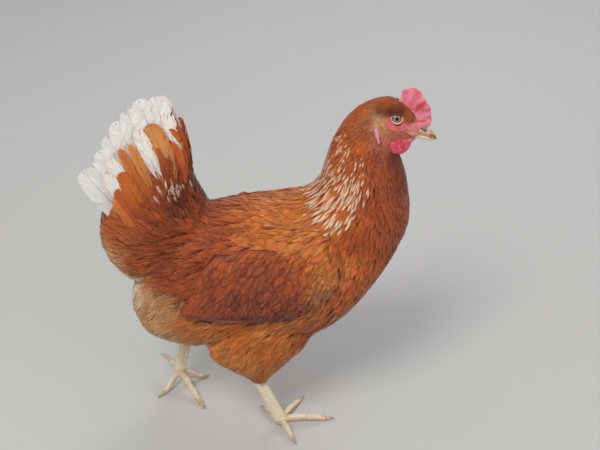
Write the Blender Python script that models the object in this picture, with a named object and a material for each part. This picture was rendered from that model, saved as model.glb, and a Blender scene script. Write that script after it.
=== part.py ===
"""A brown laying hen, walking, at life size.

Metres, +Z up. The hen faces +X and its left side is +Y. The floor is z = 0.
The body is a chain of oval sections, each set by its back point and its belly point in the
hen's middle plane and by its half width. Trunk, neck and head are stretches of that one chain,
so their faces meet. Legs, wings, tail, comb and wattles are their own solids, trimmed to fit.
"""

import math
from collections import namedtuple

import bmesh
import bpy
import numpy as np
from mathutils import Matrix, Vector
from mathutils.bvhtree import BVHTree

# ---------------------------------------------------------------- driving dimensions

HEN_HEIGHT = 0.400  # floor to the top of the comb; the numbers below are scaled to meet it
GAP = 0.0004  # clearance between neighbouring solids
LEFT, RIGHT = 1, -1  # the sign of Y on each side of the hen
SIDES = {"left": LEFT, "right": RIGHT}

# Oval sections from the vent to the beak: back point, belly point (x, z) and half width.
Station = namedtuple("Station", "back_x back_z belly_x belly_z half_width")
BODY = [
    Station(-0.2020, 0.178, -0.2020, 0.142, 0.020),
    Station(-0.1950, 0.205, -0.1860, 0.115, 0.042),
    Station(-0.1750, 0.232, -0.1620, 0.103, 0.054),
    Station(-0.1400, 0.264, -0.1300, 0.097, 0.064),
    Station(-0.0950, 0.278, -0.0850, 0.098, 0.071),
    Station(-0.0450, 0.282, -0.0300, 0.104, 0.074),
    Station(-0.0120, 0.287, 0.0120, 0.117, 0.0735),
    Station(0.0040, 0.295, 0.0510, 0.144, 0.069),
    Station(0.0120, 0.303, 0.0855, 0.189, 0.061),
    Station(0.0170, 0.311, 0.1080, 0.228, 0.053),
    Station(0.0205, 0.322, 0.1190, 0.262, 0.0455),
    Station(0.0245, 0.338, 0.1165, 0.296, 0.039),
    Station(0.0310, 0.357, 0.1112, 0.322, 0.0325),
    Station(0.0410, 0.376, 0.1050, 0.3390, 0.0275),
    Station(0.0560, 0.3935, 0.1010, 0.3440, 0.0235),
    Station(0.0740, 0.4040, 0.1020, 0.3470, 0.0205),
    Station(0.0920, 0.4070, 0.1060, 0.3500, 0.0185),
    Station(0.1080, 0.4000, 0.1120, 0.3530, 0.0160),
    Station(0.1190, 0.3880, 0.1180, 0.3570, 0.0125),
    Station(0.1245, 0.3780, 0.1215, 0.3610, 0.0090),
]
NECK_STARTS, HEAD_STARTS = 9, 13  # station numbers of the two cuts across the body
ROWS_PER_STATION = 2
SIDES_OF_SECTION = 24
SQUARENESS = 2.25  # of a superellipse section: 2 is an ellipse
BELLY_FULLNESS = -0.06  # below 0, a section is widest under its middle
THROAT_STARTS, THROAT_ENDS = 8, 14  # station numbers between which the underside narrows
THROAT_NARROWING = 0.38  # share by which the underside of the head is narrower than an oval

# Tail cushion: front point, rear point and half width of each section, root to top.
CUSHION = [
    Station(-0.0950, 0.250, -0.1850, 0.170, 0.040),
    Station(-0.1080, 0.279, -0.2160, 0.197, 0.046),
    Station(-0.1200, 0.303, -0.2335, 0.230, 0.044),
    Station(-0.1265, 0.327, -0.2310, 0.265, 0.037),
    Station(-0.1305, 0.351, -0.2150, 0.301, 0.028),
    Station(-0.1360, 0.372, -0.1950, 0.335, 0.017),
    Station(-0.1450, 0.389, -0.1740, 0.366, 0.007),
]

# Tail fan of each side: seven main feathers between a front edge and a rear edge.
FAN_FEATHERS = 7
Fan = namedtuple("Fan", "front_root front_tip rear_root rear_tip bulge")
FANS = {  # bulge: how far the middle tips stand beyond a straight line
    "left": Fan(
        Vector((-0.122, 0.0030, 0.260)),
        Vector((-0.156, 0.0030, 0.404)),
        Vector((-0.186, 0.0300, 0.245)),
        Vector((-0.233, 0.0360, 0.326)),
        0.006,
    ),
    "right": Fan(
        Vector((-0.122, 0.0030, 0.260)),
        Vector((-0.157, 0.0030, 0.409)),
        Vector((-0.186, 0.0300, 0.245)),
        Vector((-0.243, 0.0400, 0.338)),
        0.015,
    ),
}
FAN_NOTCH = 0.011  # depth of the notch between two tips
FAN_STEP = 0.0009  # each feather lies this far over the next
FAN_THICKNESS = 0.0014
FAN_COLUMNS, FAN_ROWS = 4, 4

# Folded wing, as angles round the trunk's axis above the horizontal, front to tip.
WingStation = namedtuple("WingStation", "x low_deg high_deg thickness")
WING = [
    WingStation(0.0400, 25, 40, 0.0035),
    WingStation(0.0330, 13, 50, 0.0065),
    WingStation(0.0200, 3, 57, 0.0085),
    WingStation(-0.0050, -9, 61, 0.0095),
    WingStation(-0.0400, -16, 63, 0.0095),
    WingStation(-0.0750, -18, 61, 0.0085),
    WingStation(-0.1020, -18, 52, 0.0075),
    WingStation(-0.1220, -17, 24, 0.0060),
    WingStation(-0.1400, -14, -5, 0.0040),
]
WING_AXIS_Z = 0.190
WING_LIFT = 0.0018  # between the trunk's skin and the wing's inner face
WING_ROWS_PER_STATION = 2
WING_COLUMNS = 7
WING_EDGE_SHARE = 0.35  # the wing's edge thickness as a share of its middle's

# Legs. A thigh is a stack of oval sections: centre, half length and half width.
Oval = namedtuple("Oval", "x y z half_length half_width")
THIGHS = {
    "right": [
        Oval(-0.042, -0.036, 0.165, 0.052, 0.030),
        Oval(-0.052, -0.042, 0.125, 0.060, 0.035),
        Oval(-0.061, -0.046, 0.105, 0.052, 0.031),
        Oval(-0.0595, -0.047, 0.090, 0.0360, 0.024),
        Oval(-0.055, -0.048, 0.078, 0.0190, 0.0165),
        Oval(-0.054, -0.049, 0.070, 0.0115, 0.0110),
        Oval(-0.0535, -0.049, 0.066, 0.0085, 0.0085),
    ],
    "left": [
        Oval(-0.085, 0.036, 0.165, 0.050, 0.030),
        Oval(-0.105, 0.040, 0.125, 0.043, 0.033),
        Oval(-0.122, 0.040, 0.107, 0.033, 0.027),
        Oval(-0.134, 0.037, 0.092, 0.022, 0.0195),
        Oval(-0.140, 0.034, 0.081, 0.0135, 0.0130),
        Oval(-0.1435, 0.032, 0.075, 0.0090, 0.0090),
    ],
}
THIGH_SIDES = 14

# Feet: where the shank meets the foot, the hock it runs to, and each toe's tip.
Foot = namedtuple("Foot", "pad hock toes")
Toe = namedtuple("Toe", "tip rise radius")
FEET = {
    "right": Foot(
        pad=Vector((-0.0285, -0.0495, 0.0066)),
        hock=Vector((-0.0650, -0.0480, 0.0890)),
        toes={
            "hind": Toe(Vector((-0.0486, -0.0250, 0.0032)), 0.0070, 0.0038),
            "inner": Toe(Vector((-0.0048, -0.0078, 0.0030)), 0.0070, 0.0043),
            "middle": Toe(Vector((0.0264, -0.0436, 0.0030)), 0.0080, 0.0047),
            "outer": Toe(Vector((-0.0137, -0.0812, 0.0030)), 0.0070, 0.0043),
        },
    ),
    "left": Foot(
        pad=Vector((-0.1598, 0.0295, 0.0200)),
        hock=Vector((-0.1400, 0.0330, 0.1060)),
        toes={
            "hind": Toe(Vector((-0.1805, 0.0500, 0.0280)), 0.0040, 0.0038),
            "inner": Toe(Vector((-0.1790, 0.0052, 0.0030)), 0.0060, 0.0043),
            "middle": Toe(Vector((-0.1291, -0.0144, 0.0030)), 0.0060, 0.0047),
            "outer": Toe(Vector((-0.1320, 0.0395, 0.0030)), 0.0060, 0.0043),
        },
    ),
}
SHANK_RADIUS = 0.0056
SHANK_DEPTH = 1.25  # a shank is deeper front to back than it is wide
HOCK_SWELL, ANKLE_SWELL = 0.35, 0.12  # extra radius at the shank's two ends, as shares
PAD_RADIUS, PAD_FLATNESS = 0.0078, 0.9
ANKLE_HEIGHT = 0.012  # how far up the shank the foot's own solid reaches
SHANK_SIDES, SHANK_ROWS = 12, 4
TOE_END_SHARE = 0.72  # a toe's end radius as a share of its root radius
KNUCKLE_SWELL = 0.10
TOE_KNUCKLES = {"hind": 1, "inner": 2, "middle": 3, "outer": 4}
TOE_SIDES, TOE_ROWS = 8, 6
CLAW_LENGTH = {"hind": 0.0100, "inner": 0.0105, "middle": 0.0120, "outer": 0.0100}
CLAW_DROP = 0.0022
CLAW_ROWS, CLAW_SIDES = 4, 6
FLOOR_DEPTH = 0.05

# Head fittings.
EYE_RADIUS = 0.0072
EYE = Vector((0.0991, 0.0117, 0.3860))
EYE_SEGMENTS, EYE_RINGS = 12, 8

COMB_FOOT = Vector((0.1120, 0, 0.3760))  # the comb fans out from this point in the skull
CombRay = namedtuple("CombRay", "angle_deg reach")
COMB_OUTLINE = [
    CombRay(-8, 0.0235),
    CombRay(2, 0.0252),
    CombRay(12, 0.0262),
    CombRay(21, 0.0266),
    CombRay(28, 0.0287),
    CombRay(35, 0.0280),
    CombRay(42, 0.0322),
    CombRay(50, 0.0300),
    CombRay(58, 0.0345),
    CombRay(64, 0.0330),
    CombRay(72, 0.0406),
    CombRay(79, 0.0370),
    CombRay(88, 0.0423),
    CombRay(94, 0.0372),
    CombRay(99, 0.0380),
    CombRay(105, 0.0330),
    CombRay(111, 0.0280),
    CombRay(117, 0.0190),
]
COMB_HALF_THICKNESS = 0.0034
COMB_EDGE_SHARE = 0.30

BEAK_SIDES = 12
BEAK_FULLNESS = -0.15
UPPER_BEAK = [
    Station(0.1190, 0.3790, 0.1154, 0.3690, 0.0090),
    Station(0.1280, 0.3744, 0.1250, 0.3660, 0.0078),
    Station(0.1355, 0.3696, 0.1334, 0.3626, 0.0060),
    Station(0.1412, 0.3642, 0.1390, 0.3588, 0.0038),
    Station(0.1440, 0.3582, 0.1426, 0.3560, 0.0013),
]
LOWER_BEAK = [
    Station(0.1154, 0.3694, 0.1138, 0.3584, 0.0080),
    Station(0.1250, 0.3666, 0.1236, 0.3564, 0.0068),
    Station(0.1332, 0.3634, 0.1318, 0.3544, 0.0052),
    Station(0.1378, 0.3588, 0.1370, 0.3528, 0.0031),
    Station(0.1406, 0.3546, 0.1401, 0.3525, 0.0012),
]

# A hanging lobe: middle of its top edge, half length, drop and thickness. Its lower end lies
# further forward by lean and further out by splay, and its front edge further out by flare.
Lobe = namedtuple("Lobe", "x y z half_length drop thickness lean splay flare")
WATTLE = Lobe(0.1036, 0.0130, 0.3632, 0.0141, 0.0182, 0.0036, -0.0030, -0.0010, -0.0034)
EARLOBE = Lobe(0.0765, 0.0225, 0.3795, 0.0020, 0.0195, 0.0042, 0.0055, -0.0010, 0.0)
LOBE_ROWS, LOBE_COLUMNS = 5, 7

COLOURS = {  # linear base colour, roughness
    "plumage": ((0.330, 0.085, 0.022), 0.60),
    "tail_plumage": ((0.800, 0.740, 0.660), 0.60),
    "comb_skin": ((0.720, 0.075, 0.095), 0.45),
    "leg_skin": ((0.640, 0.520, 0.340), 0.55),
    "horn": ((0.520, 0.340, 0.220), 0.40),
    "earlobe_skin": ((0.780, 0.520, 0.560), 0.50),
    "eye": ((0.230, 0.130, 0.050), 0.08),
}


# ---------------------------------------------------------------- shared tools


def clear_scene():
    for obj in list(bpy.data.objects):
        bpy.data.objects.remove(obj)


def material(slot):
    """The Principled material of one kind of surface, made once."""
    found = bpy.data.materials.get(slot)
    if found:
        return found
    colour, roughness = COLOURS[slot]
    made = bpy.data.materials.new(slot)
    made.use_nodes = True
    shader = made.node_tree.nodes["Principled BSDF"]
    shader.inputs["Base Color"].default_value = (*colour, 1)
    shader.inputs["Roughness"].default_value = roughness
    shader.inputs["Metallic"].default_value = 0.0
    return made


def solid(name, points, faces, slot):
    """A named object from points and faces, with its normals facing out."""
    mesh = bpy.data.meshes.new(name)
    mesh.from_pydata([tuple(p) for p in points], [], faces)
    tidy = bmesh.new()
    tidy.from_mesh(mesh)
    bmesh.ops.recalc_face_normals(tidy, faces=tidy.faces)
    tidy.to_mesh(mesh)
    tidy.free()
    mesh.materials.append(material(slot))
    mesh.shade_smooth()
    obj = bpy.data.objects.new(name, mesh)
    bpy.context.scene.collection.objects.link(obj)
    return obj


def loft(name, rings, slot):
    """A closed solid through rings of equal length, with a flat face over each end."""
    count = len(rings[0])
    points = [p for ring in rings for p in ring]
    faces = []
    for row in range(len(rings) - 1):
        for i in range(count):
            near, far = row * count, (row + 1) * count
            after = (i + 1) % count
            faces.append((near + i, near + after, far + after, far + i))
    faces.append(tuple(range(count)))
    faces.append(tuple((len(rings) - 1) * count + i for i in range(count)))
    return solid(name, points, faces, slot)


def curve_through(rows, per_span):
    """Points on a Catmull-Rom curve through rows, with per_span steps from each to the next."""
    rows = np.array(rows, float)
    before = 2 * rows[0] - rows[1]
    after = 2 * rows[-1] - rows[-2]
    rows = np.vstack([before, rows, after])
    found = []
    for k in range(1, len(rows) - 2):
        a, b, c, d = rows[k - 1 : k + 3]
        for step in range(per_span):
            t = step / per_span
            found.append(
                b
                + 0.5 * t * (c - a)
                + t * t * (a - 2.5 * b + 2 * c - 0.5 * d)
                + t**3 * (1.5 * (b - c) + 0.5 * (d - a))
            )
    found.append(rows[-2])
    return np.array(found)


def signed_power(value, power):
    return math.copysign(abs(value) ** power, value)


def section(
    row, sides=SIDES_OF_SECTION, squareness=SQUARENESS, fullness=BELLY_FULLNESS, narrowing=0.0
):
    """One oval section of a chain, as a ring of points. Its underside can be narrower."""
    back_x, back_z, belly_x, belly_z, half_width = row
    middle = Vector(((back_x + belly_x) / 2, 0, (back_z + belly_z) / 2))
    rise = Vector(((back_x - belly_x) / 2, 0, (back_z - belly_z) / 2))
    ring = []
    for i in range(sides):
        angle = 2 * math.pi * i / sides
        up = signed_power(math.sin(angle), 2 / squareness)
        out = signed_power(math.cos(angle), 2 / squareness) * (1 + fullness * up)
        out *= 1 - narrowing * max(0, -up)
        ring.append(middle + rise * up + Vector((0, half_width * out, 0)))
    return ring


def pull_in(rings, distance, at_start):
    """Moves a stretch's end ring along the body, so that a cut leaves a gap."""
    end, inner = (rings[0], rings[1]) if at_start else (rings[-1], rings[-2])
    centre = sum(end, Vector()) / len(end)
    inward = (sum(inner, Vector()) / len(inner) - centre).normalized()
    moved = [p + inward * distance for p in end]
    if at_start:
        return [moved, *rings[1:]]
    return [*rings[:-1], moved]


def applied(obj):
    """Replaces an object's mesh with what its modifiers make of it."""
    bpy.context.view_layer.update()
    graph = bpy.context.evaluated_depsgraph_get()
    made = bpy.data.meshes.new_from_object(obj.evaluated_get(graph), depsgraph=graph)
    obj.modifiers.clear()
    obj.data = made
    return obj


def grown_copy(obj, distance):
    """A hidden copy of a solid, larger by distance all round."""
    mesh = obj.data.copy()
    mesh.name = obj.name + "_cutter"
    normals = [v.normal.copy() for v in mesh.vertices]
    for vertex, normal in zip(mesh.vertices, normals, strict=True):
        vertex.co += normal * distance
    cutter = bpy.data.objects.new(mesh.name, mesh)
    bpy.context.scene.collection.objects.link(cutter)
    cutter.hide_render = True
    cutter.display_type = "WIRE"
    return cutter


def keep_largest_piece(obj):
    """Drops the loose scraps that a cut can leave, such as the far end of a buried root."""
    tidy = bmesh.new()
    tidy.from_mesh(obj.data)
    left = set(tidy.verts)
    pieces = []
    while left:
        piece, border = set(), [next(iter(left))]
        while border:
            vertex = border.pop()
            if vertex in piece:
                continue
            piece.add(vertex)
            border.extend(edge.other_vert(vertex) for edge in vertex.link_edges)
        left -= piece
        pieces.append(piece)
    largest = max(pieces, key=len)
    spare = [v for v in tidy.verts if v not in largest]
    bmesh.ops.delete(tidy, geom=spare, context="VERTS")
    tidy.to_mesh(obj.data)
    tidy.free()


def boolean(obj, other, operation):
    """Applies one exact Boolean to obj and removes the other object."""
    modifier = obj.modifiers.new(operation.title(), "BOOLEAN")
    modifier.operation = operation
    modifier.solver = "EXACT"
    modifier.object = other
    applied(obj)
    bpy.data.objects.remove(other)
    return obj


def trim(obj, neighbour, gap=GAP):
    """Cuts obj back where it would enter its neighbour, leaving a gap between them."""
    boolean(obj, grown_copy(neighbour, gap), "DIFFERENCE")
    keep_largest_piece(obj)
    return obj


def frame_along(direction, up=Vector((0, 0, 1))):
    """Two unit vectors across a direction: one level, one upward."""
    level = direction.cross(up).normalized()
    return level, level.cross(direction).normalized()


# ---------------------------------------------------------------- body


def body_parts():
    """Trunk, neck and head, as three stretches of one chain of sections."""
    rows = curve_through(BODY, ROWS_PER_STATION)
    rings = []
    for number, row in enumerate(rows):
        station = number / ROWS_PER_STATION
        share = (station - THROAT_STARTS) / (THROAT_ENDS - THROAT_STARTS)
        rings.append(section(row, narrowing=THROAT_NARROWING * min(max(share, 0), 1)))
    neck, head = NECK_STARTS * ROWS_PER_STATION, HEAD_STARTS * ROWS_PER_STATION
    stretches = {
        "trunk": pull_in(rings[: neck + 1], GAP / 2, at_start=False),
        "neck": pull_in(
            pull_in(rings[neck : head + 1], GAP / 2, at_start=True), GAP / 2, at_start=False
        ),
        "head": pull_in(rings[head:], GAP / 2, at_start=True),
    }
    return {name: loft(name, found, "plumage") for name, found in stretches.items()}


def wing(side, trunk):
    """A folded wing that lies on the trunk's side, thick in the middle and thin at its edges."""
    tree = BVHTree.FromObject(trunk, bpy.context.evaluated_depsgraph_get())
    rows = curve_through(WING, WING_ROWS_PER_STATION)
    inner, outer = [], []
    for x, low, high, thickness in rows:
        for column in range(WING_COLUMNS + 1):
            share = column / WING_COLUMNS
            angle = math.radians(low + (high - low) * share)
            out = Vector((0, SIDES[side] * math.cos(angle), math.sin(angle)))
            place, normal, _, _ = tree.ray_cast(Vector((x, 0, WING_AXIS_Z)), out)
            if normal.dot(out) < 0:
                normal = -normal
            crown = math.sin(math.pi * share) ** 0.5
            depth = thickness * (WING_EDGE_SHARE + (1 - WING_EDGE_SHARE) * crown)
            inner.append(place + normal * WING_LIFT)
            outer.append(place + normal * (WING_LIFT + depth))
    return sheet_solid("wing_" + side, inner, outer, len(rows), WING_COLUMNS + 1, "plumage")


def sheet_solid(name, inner, outer, rows, columns, slot):
    """A closed plate between two equal grids of points."""
    offset = len(inner)
    faces = []
    for row in range(rows - 1):
        for column in range(columns - 1):
            a = row * columns + column
            quad = (a, a + 1, a + columns + 1, a + columns)
            faces.append(quad)
            faces.append(tuple(offset + i for i in reversed(quad)))
    edge = [column for column in range(columns)]
    edge += [row * columns + columns - 1 for row in range(1, rows)]
    edge += [(rows - 1) * columns + column for column in range(columns - 2, -1, -1)]
    edge += [row * columns for row in range(rows - 2, 0, -1)]
    for a, b in zip(edge, edge[1:] + edge[:1], strict=True):
        faces.append((a, b, offset + b, offset + a))
    return solid(name, [*inner, *outer], faces, slot)


# ---------------------------------------------------------------- tail


def tail_cushion(trunk):
    """The coverts that wrap the root of the tail."""
    rings = [section(row) for row in curve_through(CUSHION, ROWS_PER_STATION)]
    return trim(loft("tail_coverts", rings, "plumage"), trunk)


def fan_place(side, across, along):
    """A point on one side's fan: across it from front to rear, and along it from root to tip."""
    fan = FANS[side]
    root = fan.front_root.lerp(fan.rear_root, across)
    tip = fan.front_tip.lerp(fan.rear_tip, across)
    outward = (tip - root).normalized()
    feather = across * FAN_FEATHERS
    off_centre = abs(2 * (feather - math.floor(min(feather, FAN_FEATHERS - 1e-6))) - 1)
    bulge_share = 4 * across * (1 - across) * (1.6 - 1.2 * across)
    tip += outward * (fan.bulge * bulge_share - FAN_NOTCH * off_centre**3)
    place = root.lerp(tip, along)
    place.y *= SIDES[side]
    return place


def tail_fan(side, neighbours):
    """Main tail feathers of one side, each lapped over the one behind it, in one plate."""
    fan = FANS[side]
    level = (fan.front_tip - fan.front_root).cross(fan.rear_tip - fan.front_tip).normalized()
    if level.y < 0:
        level = -level
    level.y *= SIDES[side]
    across = [
        (feather + column / FAN_COLUMNS, column / FAN_COLUMNS)
        for feather in range(FAN_FEATHERS)
        for column in range(FAN_COLUMNS + 1)
    ]
    inner, outer = [], []
    for row in range(FAN_ROWS + 1):
        for place_across, in_feather in across:
            inset = 1e-3 if in_feather == 0 else -1e-3 if in_feather == 1 else 0
            place = fan_place(side, (place_across + inset) / FAN_FEATHERS, row / FAN_ROWS)
            lap = FAN_STEP * (1 - in_feather)
            inner.append(place + level * lap)
            outer.append(place + level * (lap + FAN_THICKNESS))
    columns = FAN_FEATHERS * (FAN_COLUMNS + 1)
    plate = sheet_solid("tail_fan_" + side, inner, outer, FAN_ROWS + 1, columns, "tail_plumage")
    for neighbour in neighbours:
        trim(plate, neighbour)
    return plate


# ---------------------------------------------------------------- head fittings


def eye(side):
    """One eyeball."""
    shape = bmesh.new()
    place = Vector((EYE.x, EYE.y * SIDES[side], EYE.z))
    bmesh.ops.create_uvsphere(
        shape,
        u_segments=EYE_SEGMENTS,
        v_segments=EYE_RINGS,
        radius=EYE_RADIUS,
        matrix=Matrix.Translation(place) @ Matrix.Rotation(math.pi / 2, 4, "X"),
    )
    mesh = bpy.data.meshes.new("eye_" + side)
    shape.to_mesh(mesh)
    shape.free()
    mesh.materials.append(material("eye"))
    mesh.shade_smooth()
    obj = bpy.data.objects.new("eye_" + side, mesh)
    bpy.context.scene.collection.objects.link(obj)
    return obj


def comb(neighbours):
    """A single comb: a fan-shaped blade with rounded points, thin at its rim."""
    outline = curve_through(COMB_OUTLINE, 2)
    shares = (0.0, 0.65, 1.0)
    rings = []
    for angle_deg, reach in outline:
        angle = math.radians(angle_deg)
        ray = Vector((math.cos(angle), 0, math.sin(angle)))
        half = [
            COMB_HALF_THICKNESS * (1 - (1 - COMB_EDGE_SHARE) * share**2) for share in shares
        ]
        right = [
            COMB_FOOT + ray * (reach * s) - Vector((0, h, 0))
            for s, h in zip(shares, half, strict=True)
        ]
        left = [Vector((p.x, -p.y, p.z)) for p in reversed(right)]
        rings.append([p + ray * 0.0008 for p in right + left])
    blade = loft("comb", rings, "comb_skin")
    for neighbour in neighbours:
        trim(blade, neighbour)
    return blade


def beak(name, stations, neighbours):
    """One half of the beak, along its own chain of sections."""
    rows = curve_through(stations, ROWS_PER_STATION)
    rings = [section(row, BEAK_SIDES, 2.0, BEAK_FULLNESS) for row in rows]
    half = loft(name, rings, "horn")
    for neighbour in neighbours:
        trim(half, neighbour)
    return half


def hanging_lobe(name, side, shape, slot, neighbours):
    """A wattle or an earlobe: a rounded lobe that hangs from its top edge."""
    sign = SIDES[side]
    inner, outer = [], []
    for row in range(LOBE_ROWS + 1):
        share = row / LOBE_ROWS
        fall = math.sin(share * math.pi / 2)
        half_length = shape.half_length * max(math.cos(share * math.pi / 2), 0.04) ** 0.6
        for column in range(LOBE_COLUMNS + 1):
            along = 2 * column / LOBE_COLUMNS - 1
            round_off = (1 - abs(along) ** 3) ** 0.5
            half = shape.thickness / 2 * (0.25 + 0.75 * round_off * (1 - share**3))
            place = Vector(
                (
                    shape.x + shape.lean * share + half_length * along,
                    sign * (shape.y + shape.splay * share + shape.flare * along),
                    shape.z - shape.drop * fall,
                )
            )
            inner.append(place - Vector((0, half * sign, 0)))
            outer.append(place + Vector((0, half * sign, 0)))
    lobe = sheet_solid(
        f"{name}_{side}", inner, outer, LOBE_ROWS + 1, LOBE_COLUMNS + 1, slot
    )
    for neighbour in neighbours:
        trim(lobe, neighbour)
    return lobe


# ---------------------------------------------------------------- legs


def thigh(side, trunk):
    """The feathered drumstick, from the belly to a little below the hock."""
    rings = []
    for x, y, z, half_length, half_width in curve_through(THIGHS[side], 2):
        rings.append(
            [
                Vector(
                    (
                        x + half_length * math.cos(2 * math.pi * i / THIGH_SIDES),
                        y + half_width * math.sin(2 * math.pi * i / THIGH_SIDES),
                        z,
                    )
                )
                for i in range(THIGH_SIDES)
            ]
        )
    return trim(loft("thigh_" + side, rings, "plumage"), trunk)


def tube_rings(path, radii, sides, depth=1.0):
    """Round rings along a path, deeper than wide where depth is over 1."""
    rings = []
    for k, (place, radius) in enumerate(zip(path, radii, strict=True)):
        ahead = path[min(k + 1, len(path) - 1)] - path[max(k - 1, 0)]
        level, up = frame_along(ahead.normalized())
        rings.append(
            [
                place
                + level * (radius * math.cos(2 * math.pi * i / sides))
                + up * (radius * depth * math.sin(2 * math.pi * i / sides))
                for i in range(sides)
            ]
        )
    return rings


def toe_path(foot, toe, start=0.0, rows=TOE_ROWS):
    """The toe's centre line, from the pad to its tip, arched up between them."""
    points = []
    for k in range(rows + 1):
        share = start + (1 - start) * k / rows
        place = foot.pad.lerp(toe.tip, share)
        level = foot.pad.z + (toe.tip.z - foot.pad.z) * min(1, share * 1.25)
        place.z = level + toe.rise * math.sin(math.pi * share) * 0.35
        points.append(place)
    return points


def toe_solid(side, name):
    """One toe, with a swelling at each knuckle."""
    foot, toe = FEET[side], FEET[side].toes[name]
    knuckles = TOE_KNUCKLES[name]
    radii = []
    for k in range(TOE_ROWS + 1):
        share = k / TOE_ROWS
        taper = 1 - (1 - TOE_END_SHARE) * share
        swell = 1 + KNUCKLE_SWELL * math.cos(2 * math.pi * knuckles * share)
        radii.append(toe.radius * taper * swell)
    rings = tube_rings(toe_path(foot, toe), radii, TOE_SIDES)
    return loft(f"toe_{name}_{side}", rings, "leg_skin")


def foot_pad(side):
    """The ball of the foot, where the four toes and the shank come together."""
    foot = FEET[side]
    shape = bmesh.new()
    bmesh.ops.create_uvsphere(shape, u_segments=12, v_segments=6, radius=PAD_RADIUS)
    mesh = bpy.data.meshes.new("foot_" + side)
    shape.to_mesh(mesh)
    shape.free()
    mesh.transform(Matrix.Translation(foot.pad) @ Matrix.Diagonal((1, 1, PAD_FLATNESS, 1)))
    mesh.materials.append(material("leg_skin"))
    obj = bpy.data.objects.new("foot_" + side, mesh)
    bpy.context.scene.collection.objects.link(obj)
    return obj


def floor_block():
    """A block under the floor, which flattens what stands on it."""
    shape = bmesh.new()
    bmesh.ops.create_cube(shape, size=1.0)
    mesh = bpy.data.meshes.new("floor_block")
    shape.to_mesh(mesh)
    shape.free()
    place = Matrix.Translation((0, 0, -FLOOR_DEPTH / 2))
    mesh.transform(place @ Matrix.Diagonal((1, 1, FLOOR_DEPTH, 1)))
    block = bpy.data.objects.new("floor_block", mesh)
    bpy.context.scene.collection.objects.link(block)
    return block


def shank(side, neighbours):
    """The scaly lower leg, from just above the foot up into the thigh's feathers."""
    foot = FEET[side]
    rings = shank_rings(side, ANKLE_HEIGHT + GAP, (foot.hock - foot.pad).length)
    leg = loft("shank_" + side, rings, "leg_skin")
    for neighbour in neighbours:
        trim(leg, neighbour)
    return leg


def shank_rings(side, start, end):
    """Rings of the lower leg between two distances along it from the middle of the pad."""
    foot = FEET[side]
    length = (foot.hock - foot.pad).length
    path, radii = [], []
    for k in range(SHANK_ROWS + 1):
        share = (start + (end - start) * k / SHANK_ROWS) / length
        path.append(foot.pad.lerp(foot.hock, share))
        radii.append(SHANK_RADIUS * (1 + HOCK_SWELL * share**3 + ANKLE_SWELL * (1 - share) ** 4))
    return tube_rings(path, radii, SHANK_SIDES, SHANK_DEPTH)


def foot_solid(side):
    """Pad, ankle and toes in one, flattened where they press on the floor."""
    foot = foot_pad(side)
    boolean(foot, loft("ankle_" + side, shank_rings(side, 0, ANKLE_HEIGHT), "leg_skin"), "UNION")
    for name in FEET[side].toes:
        boolean(foot, toe_solid(side, name), "UNION")
    boolean(foot, floor_block(), "DIFFERENCE")
    foot.data.shade_smooth()
    return foot


def claw(side, name):
    """A claw that carries on from its toe's end and curves down."""
    foot, toe = FEET[side], FEET[side].toes[name]
    path = toe_path(foot, toe)
    ahead = (path[-1] - path[-2]).normalized()
    level, up = frame_along(ahead)
    length = CLAW_LENGTH[name]
    base = toe.radius * TOE_END_SHARE * (1 + KNUCKLE_SWELL) * 0.80
    drop = min(CLAW_DROP, path[-1].z - 0.0010)
    centres, radii = [], []
    for k in range(CLAW_ROWS + 1):
        share = k / CLAW_ROWS
        place = path[-1] + ahead * (GAP + length * share)
        place.z = max(path[-1].z - drop * share**2, 0.0)
        centres.append(place)
        taper = (1 - share) ** 0.7 * 0.93 + 0.07
        radii.append(min(base * taper, place.z - 0.0002))
    rings = []
    for place, radius in zip(centres, radii, strict=True):
        rings.append(
            [
                place
                + level * (radius * 0.85 * math.cos(2 * math.pi * i / CLAW_SIDES))
                + up * (radius * math.sin(2 * math.pi * i / CLAW_SIDES))
                for i in range(CLAW_SIDES)
            ]
        )
    number = list(FEET[side].toes).index(name) + 1
    return loft(f"claw_{side}_{number}", rings, "horn")


# ---------------------------------------------------------------- assembly


def fit_to_size():
    """Scales the hen to its height, centres its box on the origin and stands it on z = 0."""
    bpy.context.view_layer.update()
    shown = [o for o in bpy.context.scene.objects if not o.hide_render]
    corners = np.array([o.matrix_world @ v.co for o in shown for v in o.data.vertices])
    low, high = corners.min(axis=0), corners.max(axis=0)
    scale = HEN_HEIGHT / (high[2] - low[2])
    shift = Vector((-(low[0] + high[0]) / 2, -(low[1] + high[1]) / 2, -low[2]))
    for obj in shown:
        obj.data.transform(Matrix.Scale(scale, 4) @ Matrix.Translation(shift))


def main():
    clear_scene()
    body = body_parts()
    trunk, neck, head = body["trunk"], body["neck"], body["head"]
    cushion = tail_cushion(trunk)
    for side in SIDES:
        tail_fan(side, [cushion, trunk])
        wing(side, trunk)
        drumstick = thigh(side, trunk)
        foot_solid(side)
        shank(side, [drumstick, trunk])
        for name in FEET[side].toes:
            claw(side, name)
        ball = eye(side)
        trim_socket = grown_copy(ball, GAP)
        boolean(head, trim_socket, "DIFFERENCE")
    upper = beak("beak_upper", UPPER_BEAK, [head])
    lower = beak("beak_lower", LOWER_BEAK, [head, upper])
    comb([head, upper])
    for side in SIDES:
        hanging_lobe("wattle", side, WATTLE, "comb_skin", [head, lower, upper])
        hanging_lobe("earlobe", side, EARLOBE, "earlobe_skin", [head, neck])
    fit_to_size()


main()
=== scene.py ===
"""The looks of a still, life-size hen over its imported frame: one skin, and on it the feathers, leg scales,
eyes, bill and claws. Metres, +Z up; the hen looks along +X and the camera stands on its right, at -Y."""

import math
from collections import namedtuple

import bpy
import numpy as np
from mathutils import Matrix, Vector
from mathutils.bvhtree import BVHTree


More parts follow.
